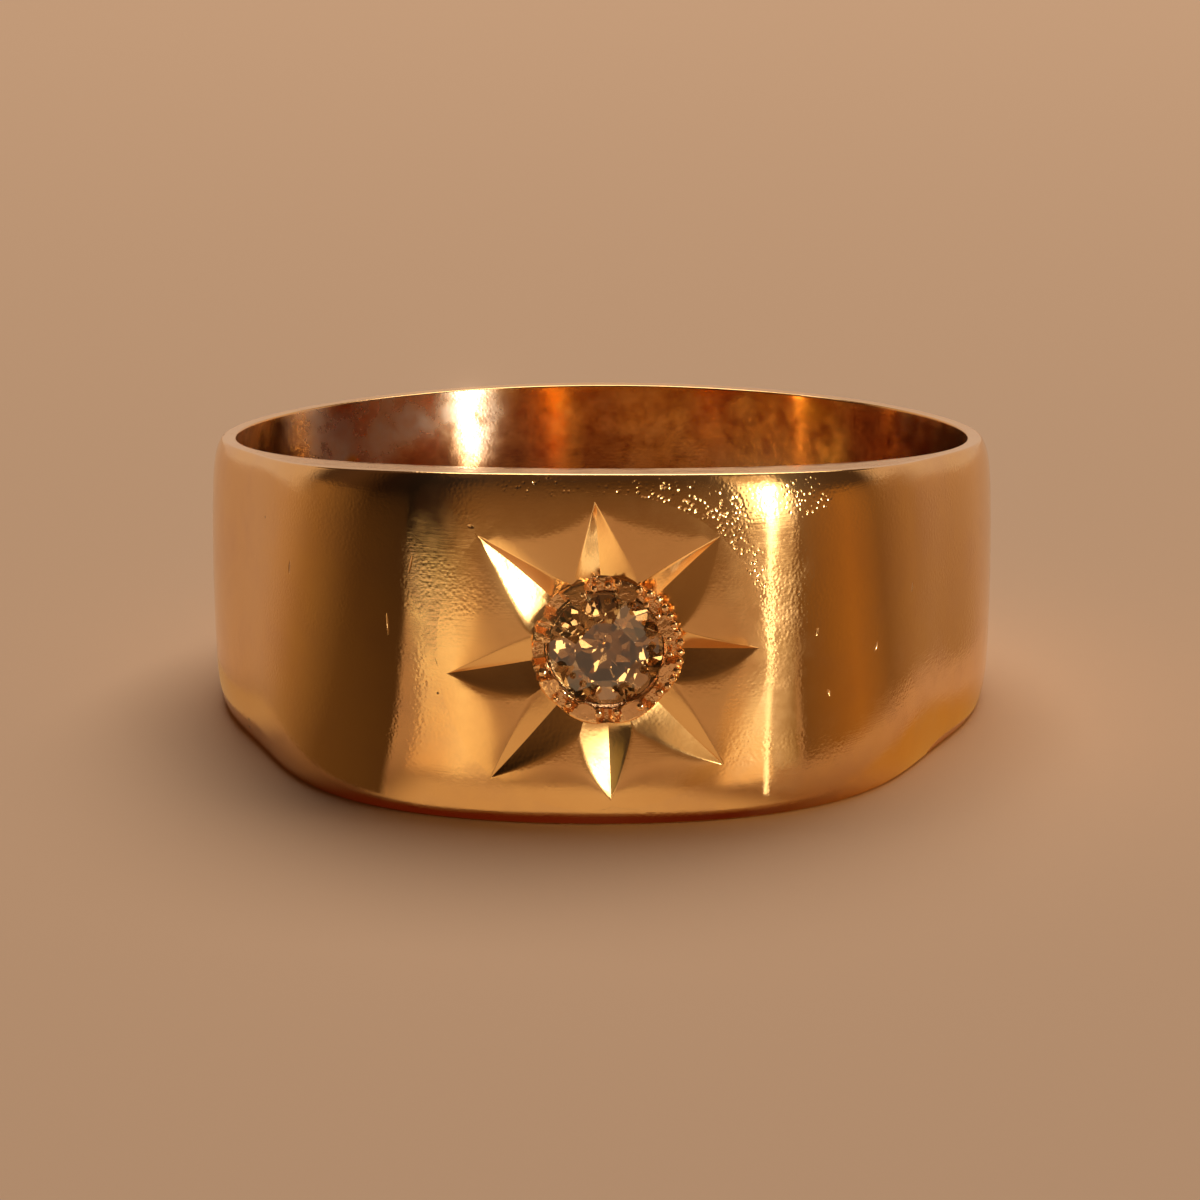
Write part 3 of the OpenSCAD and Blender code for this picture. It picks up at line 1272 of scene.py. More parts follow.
    def build(self) -> bpy.types.Object:
        """Joins the hoop and the sleeve to one closed band.

        Returns:
            The finished band.
        """
        hoop = self.add_hoop()
        sleeve = self.add_sleeve()
        select_only(hoop, sleeve)
        bpy.ops.object.join()
        band = bpy.context.object
        bpy.ops.object.mode_set(mode="EDIT")
        bpy.ops.mesh.select_all(action="SELECT")
        bpy.ops.mesh.remove_doubles(threshold=self.join_weld)
        bpy.ops.mesh.normals_make_consistent(inside=False)
        object_mode()
        beads = self.add_beads()
        select_only(band, *beads)
        bpy.ops.object.join()
        band = bpy.context.object
        band.name = "gold_band"
        band.data.name = "gold_band"
        bpy.ops.object.shade_smooth_by_angle(angle=math.radians(self.smooth_angle))
        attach(band, "root")
        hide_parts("band")
        return band

    def dress(self, part: bpy.types.Object) -> None:
        """Gives a part the finishes of all zones, in the order of Zone.

        Args:
            part: hoop, sleeve or bead.
        """
        for material in self.materials:
            part.data.materials.append(material)


def report(piece: bpy.types.Object) -> None:
    """Logs the faces, the open edges and the volume of a finished piece.

    Args:
        piece: the piece.
    """
    shape = bmesh.new()
    shape.from_mesh(piece.data)
    open_edges = sum(1 for e in shape.edges if not e.is_manifold)
    faces = len(shape.faces)
    volume = shape.calc_volume() / MM**3
    shape.free()
    LOG.info("%s: %d faces, %d open edges, %.2f mm3", piece.name, faces, open_edges, volume)


@dataclass(frozen=True)
class Facets:
    """One round of flat facets. Each plane passes the given radius and height, in mm.

    The slope is in degrees from the girdle's plane, and the facets of a round
    under the girdle look down.
    """

    count: int
    turn: float
    slope: float
    radius: float
    height: float
    upward: bool = True


@dataclass
class Stone:
    """The old-cut stone, ground facet by facet from a round blank, in mm.

    The plays say how far a facet may stray from its even place: its turn and
    slope in degrees and its depth in mm.
    """

    form: BandForm
    band: Band
    material: bpy.types.Material
    radius: float = 1.32
    crown_h: float = 0.4356
    girdle_h: float = 0.05
    pavilion_h: float = 1.1616
    blank_sides: int = 96
    turn_play: float = 4.0
    slope_play: float = 2.0
    depth_play: float = 0.03
    seed: int = 7
    cut_weld: float = 1e-8
    weld: float = 1e-6
    rounds: tuple[Facets, ...] = (
        Facets(8, 0.0, 33.6, 1.32, 0.0),
        Facets(16, 11.25, 40.0, 1.318, 0.0),
        Facets(8, 22.5, 21.5, 0.72, 0.4356),
        Facets(8, 5.0, 44.0, 1.32, -0.05, False),
        Facets(16, 16.25, 46.2, 1.316, -0.05, False),
        Facets(12, 8.0, 39.0, 0.74, -0.66, False),
        Facets(9, 20.0, 33.0, 0.42, -0.93, False),
    )

    def blank(self) -> bpy.types.Object:
        """Stands up the round blank with its girdle at the origin.

        Returns:
            The blank.
        """
        deselect_all()
        low = -self.girdle_h - self.pavilion_h
        bpy.ops.mesh.primitive_cylinder_add(
            vertices=self.blank_sides,
            radius=self.radius * MM,
            depth=(self.crown_h - low) * MM,
            location=(0.0, 0.0, (self.crown_h + low) / 2 * MM),
        )
        stone = bpy.context.object
        bpy.ops.object.transform_apply(location=True, rotation=True, scale=True)
        return stone

    def grind(self) -> None:
        """Cuts every facet as a flat plane, each a little off its even place."""
        dice = np.random.default_rng(self.seed)
        for facets in self.rounds:
            for number in range(facets.count):
                play = dice.uniform(-1.0, 1.0, 3)
                turn = facets.turn + 360.0 * number / facets.count
                turn = math.radians(turn + play[0] * self.turn_play)
                slope = math.radians(facets.slope + play[1] * self.slope_play)
                reach = facets.radius - abs(play[2]) * self.depth_play
                side = 1.0 if facets.upward else -1.0
                out = Vector((math.sin(turn), math.cos(turn), 0.0))
                normal = out * math.sin(slope) + Vector((0.0, 0.0, side * math.cos(slope)))
                point = out * reach + Vector((0.0, 0.0, facets.height))
                bpy.ops.mesh.select_all(action="SELECT")
                bpy.ops.mesh.bisect(
                    plane_co=point * MM,
                    plane_no=normal,
                    use_fill=True,
                    clear_outer=True,
                    threshold=self.cut_weld,
                )

    def seated(self, points: np.ndarray) -> np.ndarray:
        """Moves points of the stone from its own frame to its seat in the band.

        Args:
            points: points in metres, with the girdle at the origin.

        Returns:
            The same points in metres, in the frame of the whole ring.
        """
        points = points / MM
        angle = np.degrees(np.arctan2(points[:, 0], points[:, 1]))
        reach = np.hypot(points[:, 0], points[:, 1])
        level = points[:, 2] - self.band.setting.girdle_level
        return self.form.laid(self.band.level_ring(angle, reach, level))

    def build(self) -> bpy.types.Object:
        """Grinds the stone and puts it in its seat.

        Returns:
            The finished stone.
        """
        stone = self.blank()
        stone.name = "cut_diamond"
        stone.data.name = "cut_diamond"
        bpy.ops.object.mode_set(mode="EDIT")
        self.grind()
        bpy.ops.mesh.select_all(action="SELECT")
        bpy.ops.mesh.remove_doubles(threshold=self.weld)
        bpy.ops.mesh.normals_make_consistent(inside=False)
        object_mode()
        write_points(stone.data, self.seated(read_points(stone.data)))
        stone.data.materials.clear()
        stone.data.materials.append(self.material)
        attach(stone, "root")
        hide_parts("diamond")
        return stone


@dataclass(frozen=True)
class Patch:
    """One spot of wear or of painted highlight on the band, as an ellipsoid about a point of its
    surface.

    The turn is in degrees from the front and the share goes from the lower rim
    at -1 to the upper one at 1. The half lengths along and across are in mm and
    the lean is in radians. The cover is full out to the core, a share of the
    half lengths.
    """

    turn: float
    share: float
    along: float
    across: float
    lean: float = 0.0
    core: float = 0.3
    inside: bool = False


# Dull film, sparkling pecks, nicks and pits, where the wear of this ring shows
# them, and spots of painted highlight inside, where reflections show.
HAZE = (
    Patch(216.0, 0.86, 4.2, 1.5, 0.0, 0.35, True),
    Patch(204.0, 0.75, 1.3, 1.9, 0.0, 0.3, True),
    Patch(240.0, 0.86, 1.8, 1.2, 0.0, 0.2, True),
    Patch(230.0, 0.6, 3.0, 1.6, 0.0, 0.4, True),
)
# Bright spots of painted highlight inside the band, where reflections show.
PAINTED_HIGHLIGHTS = (
    Patch(190.2, 0.86, 0.75, 0.5, 0.0, 0.2, True),
    Patch(142.8, 0.88, 0.8, 0.6, 0.0, 0.2, True),
    Patch(229.0, 0.45, 0.4, 0.3, 0.0, 0.2, True),
)
GLITTER = (
    Patch(7.0, 0.86, 2.0, 0.6, 0.0, 0.5),
    Patch(-5.0, 0.93, 1.2, 0.35, 0.0, 0.3),
    Patch(15.5, 0.7, 0.8, 1.1, 0.0, 0.3),
    Patch(18.5, 0.4, 0.5, 1.2, 0.0, 0.2),
    Patch(26.0, 0.86, 0.9, 0.6, 0.0, 0.3),
)
NICKS = (
    Patch(27.0, 0.06, 0.05, 0.12, 0.3, 0.0),
    Patch(28.8, -0.31, 0.05, 0.10, -0.2, 0.0),
    Patch(36.5, -0.1, 0.04, 0.16, 0.5, 0.0),
    Patch(-20.2, 0.47, 0.03, 0.22, 0.2, 0.0),
    Patch(-23.2, 0.11, 0.03, 0.3, -0.1, 0.0),
    Patch(12.0, 0.45, 0.05, 0.09, 0.4, 0.0),
    Patch(-13.0, 0.7, 0.09, 0.05, 0.2, 0.0),
    Patch(24.5, 0.3, 0.06, 0.06, 0.0, 0.0),
    Patch(45.0, 0.2, 0.05, 0.14, 0.2, 0.0),
    Patch(-40.0, 0.35, 0.04, 0.2, 0.1, 0.0),
)
PITS = (
    Patch(-59.0, -0.84, 0.09, 0.06, 0.0, 0.2),
    Patch(-59.8, -0.9, 0.08, 0.06, 0.0, 0.2),
    Patch(-17.0, -0.26, 0.045, 0.045, 0.0, 0.2),
    Patch(-48.0, 0.62, 0.04, 0.04, 0.0, 0.2),
)


@dataclass(frozen=True)
class GoldFinish:
    """Old yellow gold alloy, polished once and worn on the hand since, in mm.

    The eye sees a warm metal mirror broken by fine wear. Scratches run round
    the band, so highlights smear along its width. Tiny dents glitter in
    patches, and a dull film lies where a finger doesn't rub. Painted highlights
    are bright spots painted where reflections show, and the foot is the part
    near the floor, darkened there by painted shade.
    """

    name: str
    colour: str = "#f6c987"
    tarnish: str = "#dc9f68"
    film: str = "#e6c3a2"
    roughness: float = 0.2
    rough_range: float = 0.08
    anisotropy: float = 0.0
    # Real scratches and grain are under 0.01 mm and the pecks of the glitter about
    # 0.05 mm, too fine to show, so all three are drawn coarser.
    scratch: float = 0.0
    scratch_spacing: float = 0.05
    scratch_stretch: float = 0.06
    scratch_depth: float = 0.003
    dimple: float = 0.0
    dimple_size: float = 0.35
    dimple_depth: float = 0.01
    grain: float = 0.0
    grain_size: float = 0.08
    grain_depth: float = 0.007
    rub_size: float = 1.5
    rough_size: float = 0.5
    tarnish_amount: float = 0.3
    tarnish_size: float = 2.2
    film_amount: float = 0.0
    film_size: float = 1.1
    film_rough: float = 0.35
    mottle_size: float = 0.9
    # Painted shade: how far the lower part darkens towards the floor, its colour and its span.
    foot_shade: float = 0.0
    foot_shade_colour: str = "#7c3208"
    foot_level: float = 3.2
    foot_height: float = 1.9
    haze: tuple[Patch, ...] = ()
    # Spots of painted highlight, and their colour.
    painted_highlights: tuple[Patch, ...] = ()
    painted_highlight_colour: str = "#ffc65c"
    glitter: tuple[Patch, ...] = ()
    glitter_size: float = 0.3
    peck_spacing: float = 0.11
    peck_depth: float = 0.026
    nick_depth: float = 0.03
    patch_depth: float = 0.6
    nicks: tuple[Patch, ...] = ()
    pits: tuple[Patch, ...] = ()
    pit_colour: str = "#2a1006"

    def cover(
        self,
        material: bpy.types.Material,
        place: bpy.types.NodeSocket,
        patches: tuple[Patch, ...],
    ) -> bpy.types.NodeSocket | None:
        """Finds how far patches cover a point.

        Args:
            material: material that gets the nodes.
            place: output of the object coordinates.
            patches: the patches.

        Returns:
            Output of the share, or None without patches.
        """
        form = BandForm()
        total = None
        for patch in patches:
            turn = np.array([patch.turn])
            share = np.array([patch.share])
            spot = form.on_bore(turn, share)
            if not patch.inside:
                spot = form.on_face(turn, share, 0 * turn)
            near = add_node(
                material,
                "ShaderNodeMapping",
                {
                    "vector_type": "TEXTURE",
                    "Location": tuple(form.laid(spot)[0]),
                    "Rotation": (0.0, patch.lean, math.radians(patch.turn)),
                    "Scale": (patch.along * MM, self.patch_depth * MM, patch.across * MM),
                },
                {"Vector": place},
            )
            reach = add_node(
                material,
                "ShaderNodeVectorMath",
                {"operation": "LENGTH"},
                {"#0": near.outputs["Vector"]},
            )
            covered = eased(material, reach.outputs["Value"], 1.0, patch.core)
            if total is not None:
                covered = combined(material, "MAXIMUM", total, covered)
            total = covered
        return total

    def tinted(
        self,
        material: bpy.types.Material,
        base: bpy.types.NodeSocket,
        colour: str,
        share: bpy.types.NodeSocket | None,
    ) -> bpy.types.NodeSocket:
        """Brings a base colour to another one.

        Args:
            material: material that gets the node.
            base: output of the base colour.
            colour: the other colour as #rrggbb.
            share: output that says how far, or None for not at all.

        Returns:
            Output of the mixed colour.
        """
        if share is None:
            return base
        return add_node(
            material,
            "ShaderNodeMix",
            {"data_type": "RGBA", "#7": linear(colour)},
            {"#0": share, "#6": base},
        ).outputs[2]

    def noise(
        self,
        material: bpy.types.Material,
        size: float,
        place: bpy.types.NodeSocket,
        limits: tuple[float, float],
        results: tuple[float, float],
    ) -> bpy.types.NodeSocket:
        """Makes cloudy patches.

        Args:
            material: material that gets the nodes.
            size: size of the patches in mm.
            place: output of the coordinates.
            limits: values of the noise where the results are reached.
            results: results at the two limits.

        Returns:
            Output of the result.
        """
        cloud = add_node(
            material,
            "ShaderNodeTexNoise",
            {"Scale": 1 / (size * MM), "Detail": 5.0, "Roughness": 0.6},
            {"Vector": place},
        )
        return add_node(
            material,
            "ShaderNodeMapRange",
            {
                "From Min": limits[0],
                "From Max": limits[1],
                "To Min": results[0],
                "To Max": results[1],
            },
            {"Value": cloud.outputs["Fac"]},
        ).outputs["Result"]

    def worn_colour(
        self, material: bpy.types.Material, place: bpy.types.NodeSocket
    ) -> tuple[bpy.types.NodeSocket, bpy.types.NodeSocket]:
        """Colours the metal with tarnish, film, painted highlights, pits and the painted shade
        of the foot.

        Args:
            material: material that gets the nodes.
            place: output of the object coordinates.

        Returns:
            Outputs of the colour and of the share of the film.
        """
        amount = self.noise(
            material, self.tarnish_size, place, (0.45, 0.75), (0.0, self.tarnish_amount)
        )
        tint = add_node(
            material,
            "ShaderNodeMix",
            {"data_type": "RGBA", "#6": linear(self.colour), "#7": linear(self.tarnish)},
            {"#0": amount},
        )
        dull = self.noise(
            material, self.film_size, place, (0.42, 0.66), (0.0, self.film_amount)
        )
        hazed = self.cover(material, place, self.haze)
        if hazed is not None:
            mottled = self.noise(
                material, self.mottle_size, place, (0.3, 0.7), (0.4, 0.95)
            )
            dull = combined(material, "MULTIPLY_ADD", hazed, mottled, dull)
        metal = self.foot(material, place, tint.outputs[2])
        colour = self.tinted(material, metal, self.film, dull)
        # Painted highlights over the film.
        painted_highlights = self.cover(material, place, self.painted_highlights)
        colour = self.tinted(material, colour, self.painted_highlight_colour, painted_highlights)
        pitted = self.cover(material, place, self.pits)
        return self.tinted(material, colour, self.pit_colour, pitted), dull

    def foot(
        self,
        material: bpy.types.Material,
        place: bpy.types.NodeSocket,
        base: bpy.types.NodeSocket,
    ) -> bpy.types.NodeSocket:
        """Paints shade on the lower part, darker towards the floor.

        Args:
            material: material that gets the nodes.
            place: output of the object coordinates.
            base: output of the colour above it.

        Returns:
            Output of the colour.
        """
        if not self.foot_shade:
            return base
        parts = add_node(material, "ShaderNodeSeparateXYZ", links={"Vector": place})
        low = add_node(
            material,
            "ShaderNodeMapRange",
            {
                "From Min": (self.foot_level + self.foot_height) * MM,
                "From Max": self.foot_level * MM,
                "To Max": self.foot_shade,
            },
            {"Value": parts.outputs["Z"]},
        )
        return self.tinted(material, base, self.foot_shade_colour, low.outputs["Result"])

    def relief(
        self, material: bpy.types.Material, place: bpy.types.NodeSocket
    ) -> bpy.types.NodeSocket:
        """Tips the surface with scratches, soft dents, grain, glitter and nicks.

        Args:
            material: material that gets the nodes.
            place: output of the object coordinates.

        Returns:
            Output of the surface direction.
        """
        along = add_node(
            material,
            "ShaderNodeMapping",
            {"Scale": (self.scratch_stretch, self.scratch_stretch, 1.0)},
            {"Vector": place},
        )
        lines = add_node(
            material,
            "ShaderNodeTexNoise",
            {"Scale": 1 / (self.scratch_spacing * MM), "Detail": 3.0, "Roughness": 0.7},
            {"Vector": along.outputs["Vector"]},
        )
        scratches = add_node(
            material,
            "ShaderNodeBump",
            {"Strength": self.scratch, "Distance": self.scratch_depth * MM},
            {"Height": lines.outputs["Fac"]},
        )
        dents = add_node(
            material,
            "ShaderNodeTexNoise",
            {"Scale": 1 / (self.dimple_size * MM), "Detail": 2.0, "Roughness": 0.5},
            {"Vector": place},
        )
        worn = add_node(
            material,
            "ShaderNodeBump",
            {"Strength": self.dimple, "Distance": self.dimple_depth * MM},
            {"Height": dents.outputs["Fac"], "Normal": scratches.outputs["Normal"]},
        )
        cells = add_node(
            material,
            "ShaderNodeTexVoronoi",
            {"feature": "SMOOTH_F1", "Scale": 1 / (self.grain_size * MM)},
            {"Vector": place},
        )
        where = self.noise(
            material, self.rub_size, place, (0.42, 0.62), (0.04, self.grain)
        )
        grained = add_node(
            material,
            "ShaderNodeBump",
            {"Distance": self.grain_depth * MM},
            {
                "Height": cells.outputs["Distance"],
                "Normal": worn.outputs["Normal"],
                "Strength": where,
            },
        ).outputs["Normal"]
        grained = self.glittered(material, place, grained)
        struck = self.cover(material, place, self.nicks)
        if struck is None:
            return grained
        return add_node(
            material,
            "ShaderNodeBump",
            {"invert": True, "Distance": self.nick_depth * MM},
            {"Height": struck, "Normal": grained},
        ).outputs["Normal"]

    def glittered(
        self,
        material: bpy.types.Material,
        place: bpy.types.NodeSocket,
        normal: bpy.types.NodeSocket,
    ) -> bpy.types.NodeSocket:
        """Adds the steep little dents that sparkle where the gold is most worn.

        Args:
            material: material that gets the nodes.
            place: output of the object coordinates.
            normal: output of the surface direction so far.

        Returns:
            Output of the surface direction.
        """
        sparkling = self.cover(material, place, self.glitter)
        if sparkling is None:
            return normal
        cells = add_node(
            material,
            "ShaderNodeTexVoronoi",
            {"Scale": 1 / (self.peck_spacing * MM)},
            {"Vector": place},
        )
        pecks = eased(material, cells.outputs["Distance"], 0.0, 0.5)
        patchy = self.noise(material, self.glitter_size, place, (0.44, 0.58), (0.1, 1.0))
        return add_node(
            material,
            "ShaderNodeBump",
            {"Distance": self.peck_depth * MM},
            {
                "Height": pecks,
                "Normal": normal,
                "Strength": combined(material, "MULTIPLY", sparkling, patchy),
            },
        ).outputs["Normal"]

    def build(self) -> bpy.types.Material:
        """Makes the material of this finish.

        Returns:
            The material.
        """
        material = new_material(self.name)
        place = add_node(material, "ShaderNodeTexCoord").outputs["Object"]
        colour, dull = self.worn_colour(material, place)
        half = self.rough_range / 2
        ends = (self.roughness - half, self.roughness + half)
        rough = self.noise(material, self.rough_size, place, (0.3, 0.7), ends)
        filmed = add_node(
            material,
            "ShaderNodeMath",
            {"operation": "MULTIPLY_ADD", "#1": self.film_rough},
            {"#0": dull, "#2": rough},
        )
        tangent = add_node(
            material, "ShaderNodeTangent", {"direction_type": "RADIAL", "axis": "Z"}
        )
        shader = add_node(
            material,
            "ShaderNodeBsdfPrincipled",
            {"Metallic": 1.0, "Anisotropic": self.anisotropy, "Anisotropic Rotation": 0.25},
            {
                "Base Color": colour,
                "Roughness": filmed.outputs["Value"],
                "Normal": self.relief(material, place),
                "Tangent": tangent.outputs["Tangent"],
            },
        )
        surface_of(material, shader.outputs["BSDF"])
        return material


@dataclass(frozen=True)
class DiamondFinish:
    """Brownish diamond, ground and polished flat by flat.

    The eye sees a clear stone that bends light strongly and throws it back from
    below, dark and bright facet by facet.
    """

    name: str = "champagne_diamond_polished"
    colour: str = "#cc9f68"

    def build(self) -> bpy.types.Material:
        """Makes the material of the stone.

        Returns:
            The material.
        """
        material = new_material(self.name)
        shader = add_node(
            material,
            "ShaderNodeBsdfPrincipled",
            {
                "Base Color": linear(self.colour),
                "Roughness": 0.0,
                "IOR": 2.417,
                "Transmission Weight": 1.0,
            },
        )
        surface_of(material, shader.outputs["BSDF"])
        return material


@dataclass(frozen=True)
class FloorFinish:
    """Uncoated paper, pressed flat: an even pale warm tone without any shine."""

    name: str = "floor_paper_matt"
    colour: str = "#d4b597"

    def build(self) -> bpy.types.Material:
        """Makes the material of the floor.

        Returns:
            The material.
        """
        material = new_material(self.name)
        shader = add_node(
            material,
            "ShaderNodeBsdfPrincipled",
            {"Base Color": linear(self.colour), "Roughness": 0.9, "Specular IOR Level": 0.0},
        )
        surface_of(material, shader.outputs["BSDF"])
        return material


@dataclass(frozen=True)
class Softbox:
    """One area light aimed at the ring, hidden from the camera.

    The bearing is in degrees to the right of the front and the height in degrees
    above the floor, the distance and sizes are in mm and the power in watts. A
    box on the floor lights matt surfaces too, and the others only show mirrored.
    """

    name: str
    bearing: float
    height: float
    distance: float
    width: float
    length: float
    power: float
    colour: str
    on_floor: bool = False


@dataclass(frozen=True)
class Edge:
    """One long edge of a card, level above the floor.

    Radius and height are in mm and the bearings of its two ends in degrees to
    the right of the front.
    """

    radius: float
    height: float
    start: float
    end: float


@dataclass(frozen=True)
class Wing:
    """One glowing studio card bent round the ring, hidden from the camera.

    Tones are given at shares of the way from the start of an edge to its end.
    The fades are the shares over which it turns clear at its start, its end and
    its high edge. It shows mirrored in the gold and through the stone, and one
    for the stone only isn't mirrored.
    """

    name: str
    low: Edge
    high: Edge
    low_tones: tuple[tuple[float, str], ...]
    high_tones: tuple[tuple[float, str], ...]
    fade_start: float = 0.02
    fade_end: float = 0.02
    fade_high: float = 0.02
    strength: float = 1.0
    stone_only: bool = False

    def place(self, along: np.ndarray, up: np.ndarray) -> np.ndarray:
        """Places points on the card.

        Args:
            along: shares of the way from its start to its end.
            up: shares of the way from its low edge to its high one.

        Returns:
            Points in mm.
        """
        low, high = self.low, self.high
        start = low.start * (1 - up) + high.start * up
        end = low.end * (1 - up) + high.end * up
        bearing = np.radians(start * (1 - along) + end * along)
        radius = low.radius * (1 - up) + high.radius * up
        height = low.height * (1 - up) + high.height * up
        return np.stack(
            [radius * np.sin(bearing), -radius * np.cos(bearing), height], axis=-1
        )


def even_tone(colour: str) -> tuple[tuple[float, str], ...]:
    """Returns the tones of an edge with one colour all along."""
    return ((0.0, colour), (1.0, colour))


# Tones of the cards, from the start of an edge to its end. Those of the low and
# the high edge differ where the mirrored room gets lighter or darker upwards.
FRONT_LOW = ((0.0, "#1c0e06"), (0.17, "#2a160c"), (0.27, "#815d3b"), (1.0, "#84603f"))
FRONT_HIGH = ((0.0, "#0c0502"), (0.25, "#140a04"), (0.36, "#3a2412"), (1.0, "#3a2412"))
LEFT_LOW = ((0.0, "#543a20"), (0.25, "#664828"), (0.5, "#967147"), (1.0, "#b78b5f"))
LEFT_HIGH = ((0.0, "#100603"), (0.2, "#26160b"), (0.5, "#84603a"), (1.0, "#c79b6f"))
TOP = ((0.0, "#0c0402"), (0.3, "#1c0c05"), (1.0, "#6a4a2e"))
PATCH_LOW = ((0.0, "#b88c62"), (0.25, "#d8ac7c"), (0.4, "#f0cc9a"), (1.0, "#cca36e"))
PATCH_HIGH = ((0.0, "#fff0c8"), (0.35, "#fff0c8"), (0.6, "#fbdcac"), (1.0, "#deb27a"))
FLANK = ((0.0, "#b09068"), (0.3, "#c9ad90"), (0.6, "#b89a78"), (1.0, "#846032"))
RIGHT = ((0.0, "#6e4c2a"), (0.25, "#a06c32"), (0.45, "#805a34"), (0.7, "#a07850"))
APRON_LOW = ((0.0, "#7c5a34"), (0.38, "#8a6640"), (0.5, "#d8b080"), (1.0, "#e0b888"))
APRON_HIGH = ((0.0, "#c8a070"), (0.48, "#b88c62"), (0.6, "#fff4dc"), (1.0, "#fff4dc"))
BOTTOM = ((0.0, "#c8a27a"), (0.5, "#d0aa80"), (1.0, "#c8a27a"))
MID = even_tone("#8e7944")
STREAK = even_tone("#fff0d8")
GLINT = ((0.0, "#fff2dc"), (1.0, "#ffe8c4"))
EMBER = even_tone("#ffdc82")
SPARK = even_tone("#ffdc90")
GLOW = ((0.0, "#ffdc98"), (0.66, "#ffdc98"), (0.88, "#a08050"), (1.0, "#a08050"))
FOOT_LEFT = even_tone("#b48b5b")
FOOT_RIGHT = even_tone("#b8823e")
# Painted shade under the band's lower edge, for the dark card at its foot.
FOOT_SHADE = ((0.0, "#4a1404"), (0.5, "#5c1c06"), (1.0, "#4a1404"))
PALE = even_tone("#cdb098")


def glint(
    number: int, low: tuple[float, float], high: tuple[float, float], start: float, end: float
) -> Wing:
    """Describes one small bright card that only the facets of the stone show.

    Args:
        number: number in its name.
        low: radius and height of its low edge in mm.
        high: radius and height of its high edge in mm.
        start: bearing of its start in degrees.
        end: bearing of its end in degrees.

    Returns:
        The card.
    """
    return Wing(
        f"glint_{number}", Edge(*low, start, end), Edge(*high, start, end),
        GLINT, GLINT, strength=5.0, stone_only=True,
    )


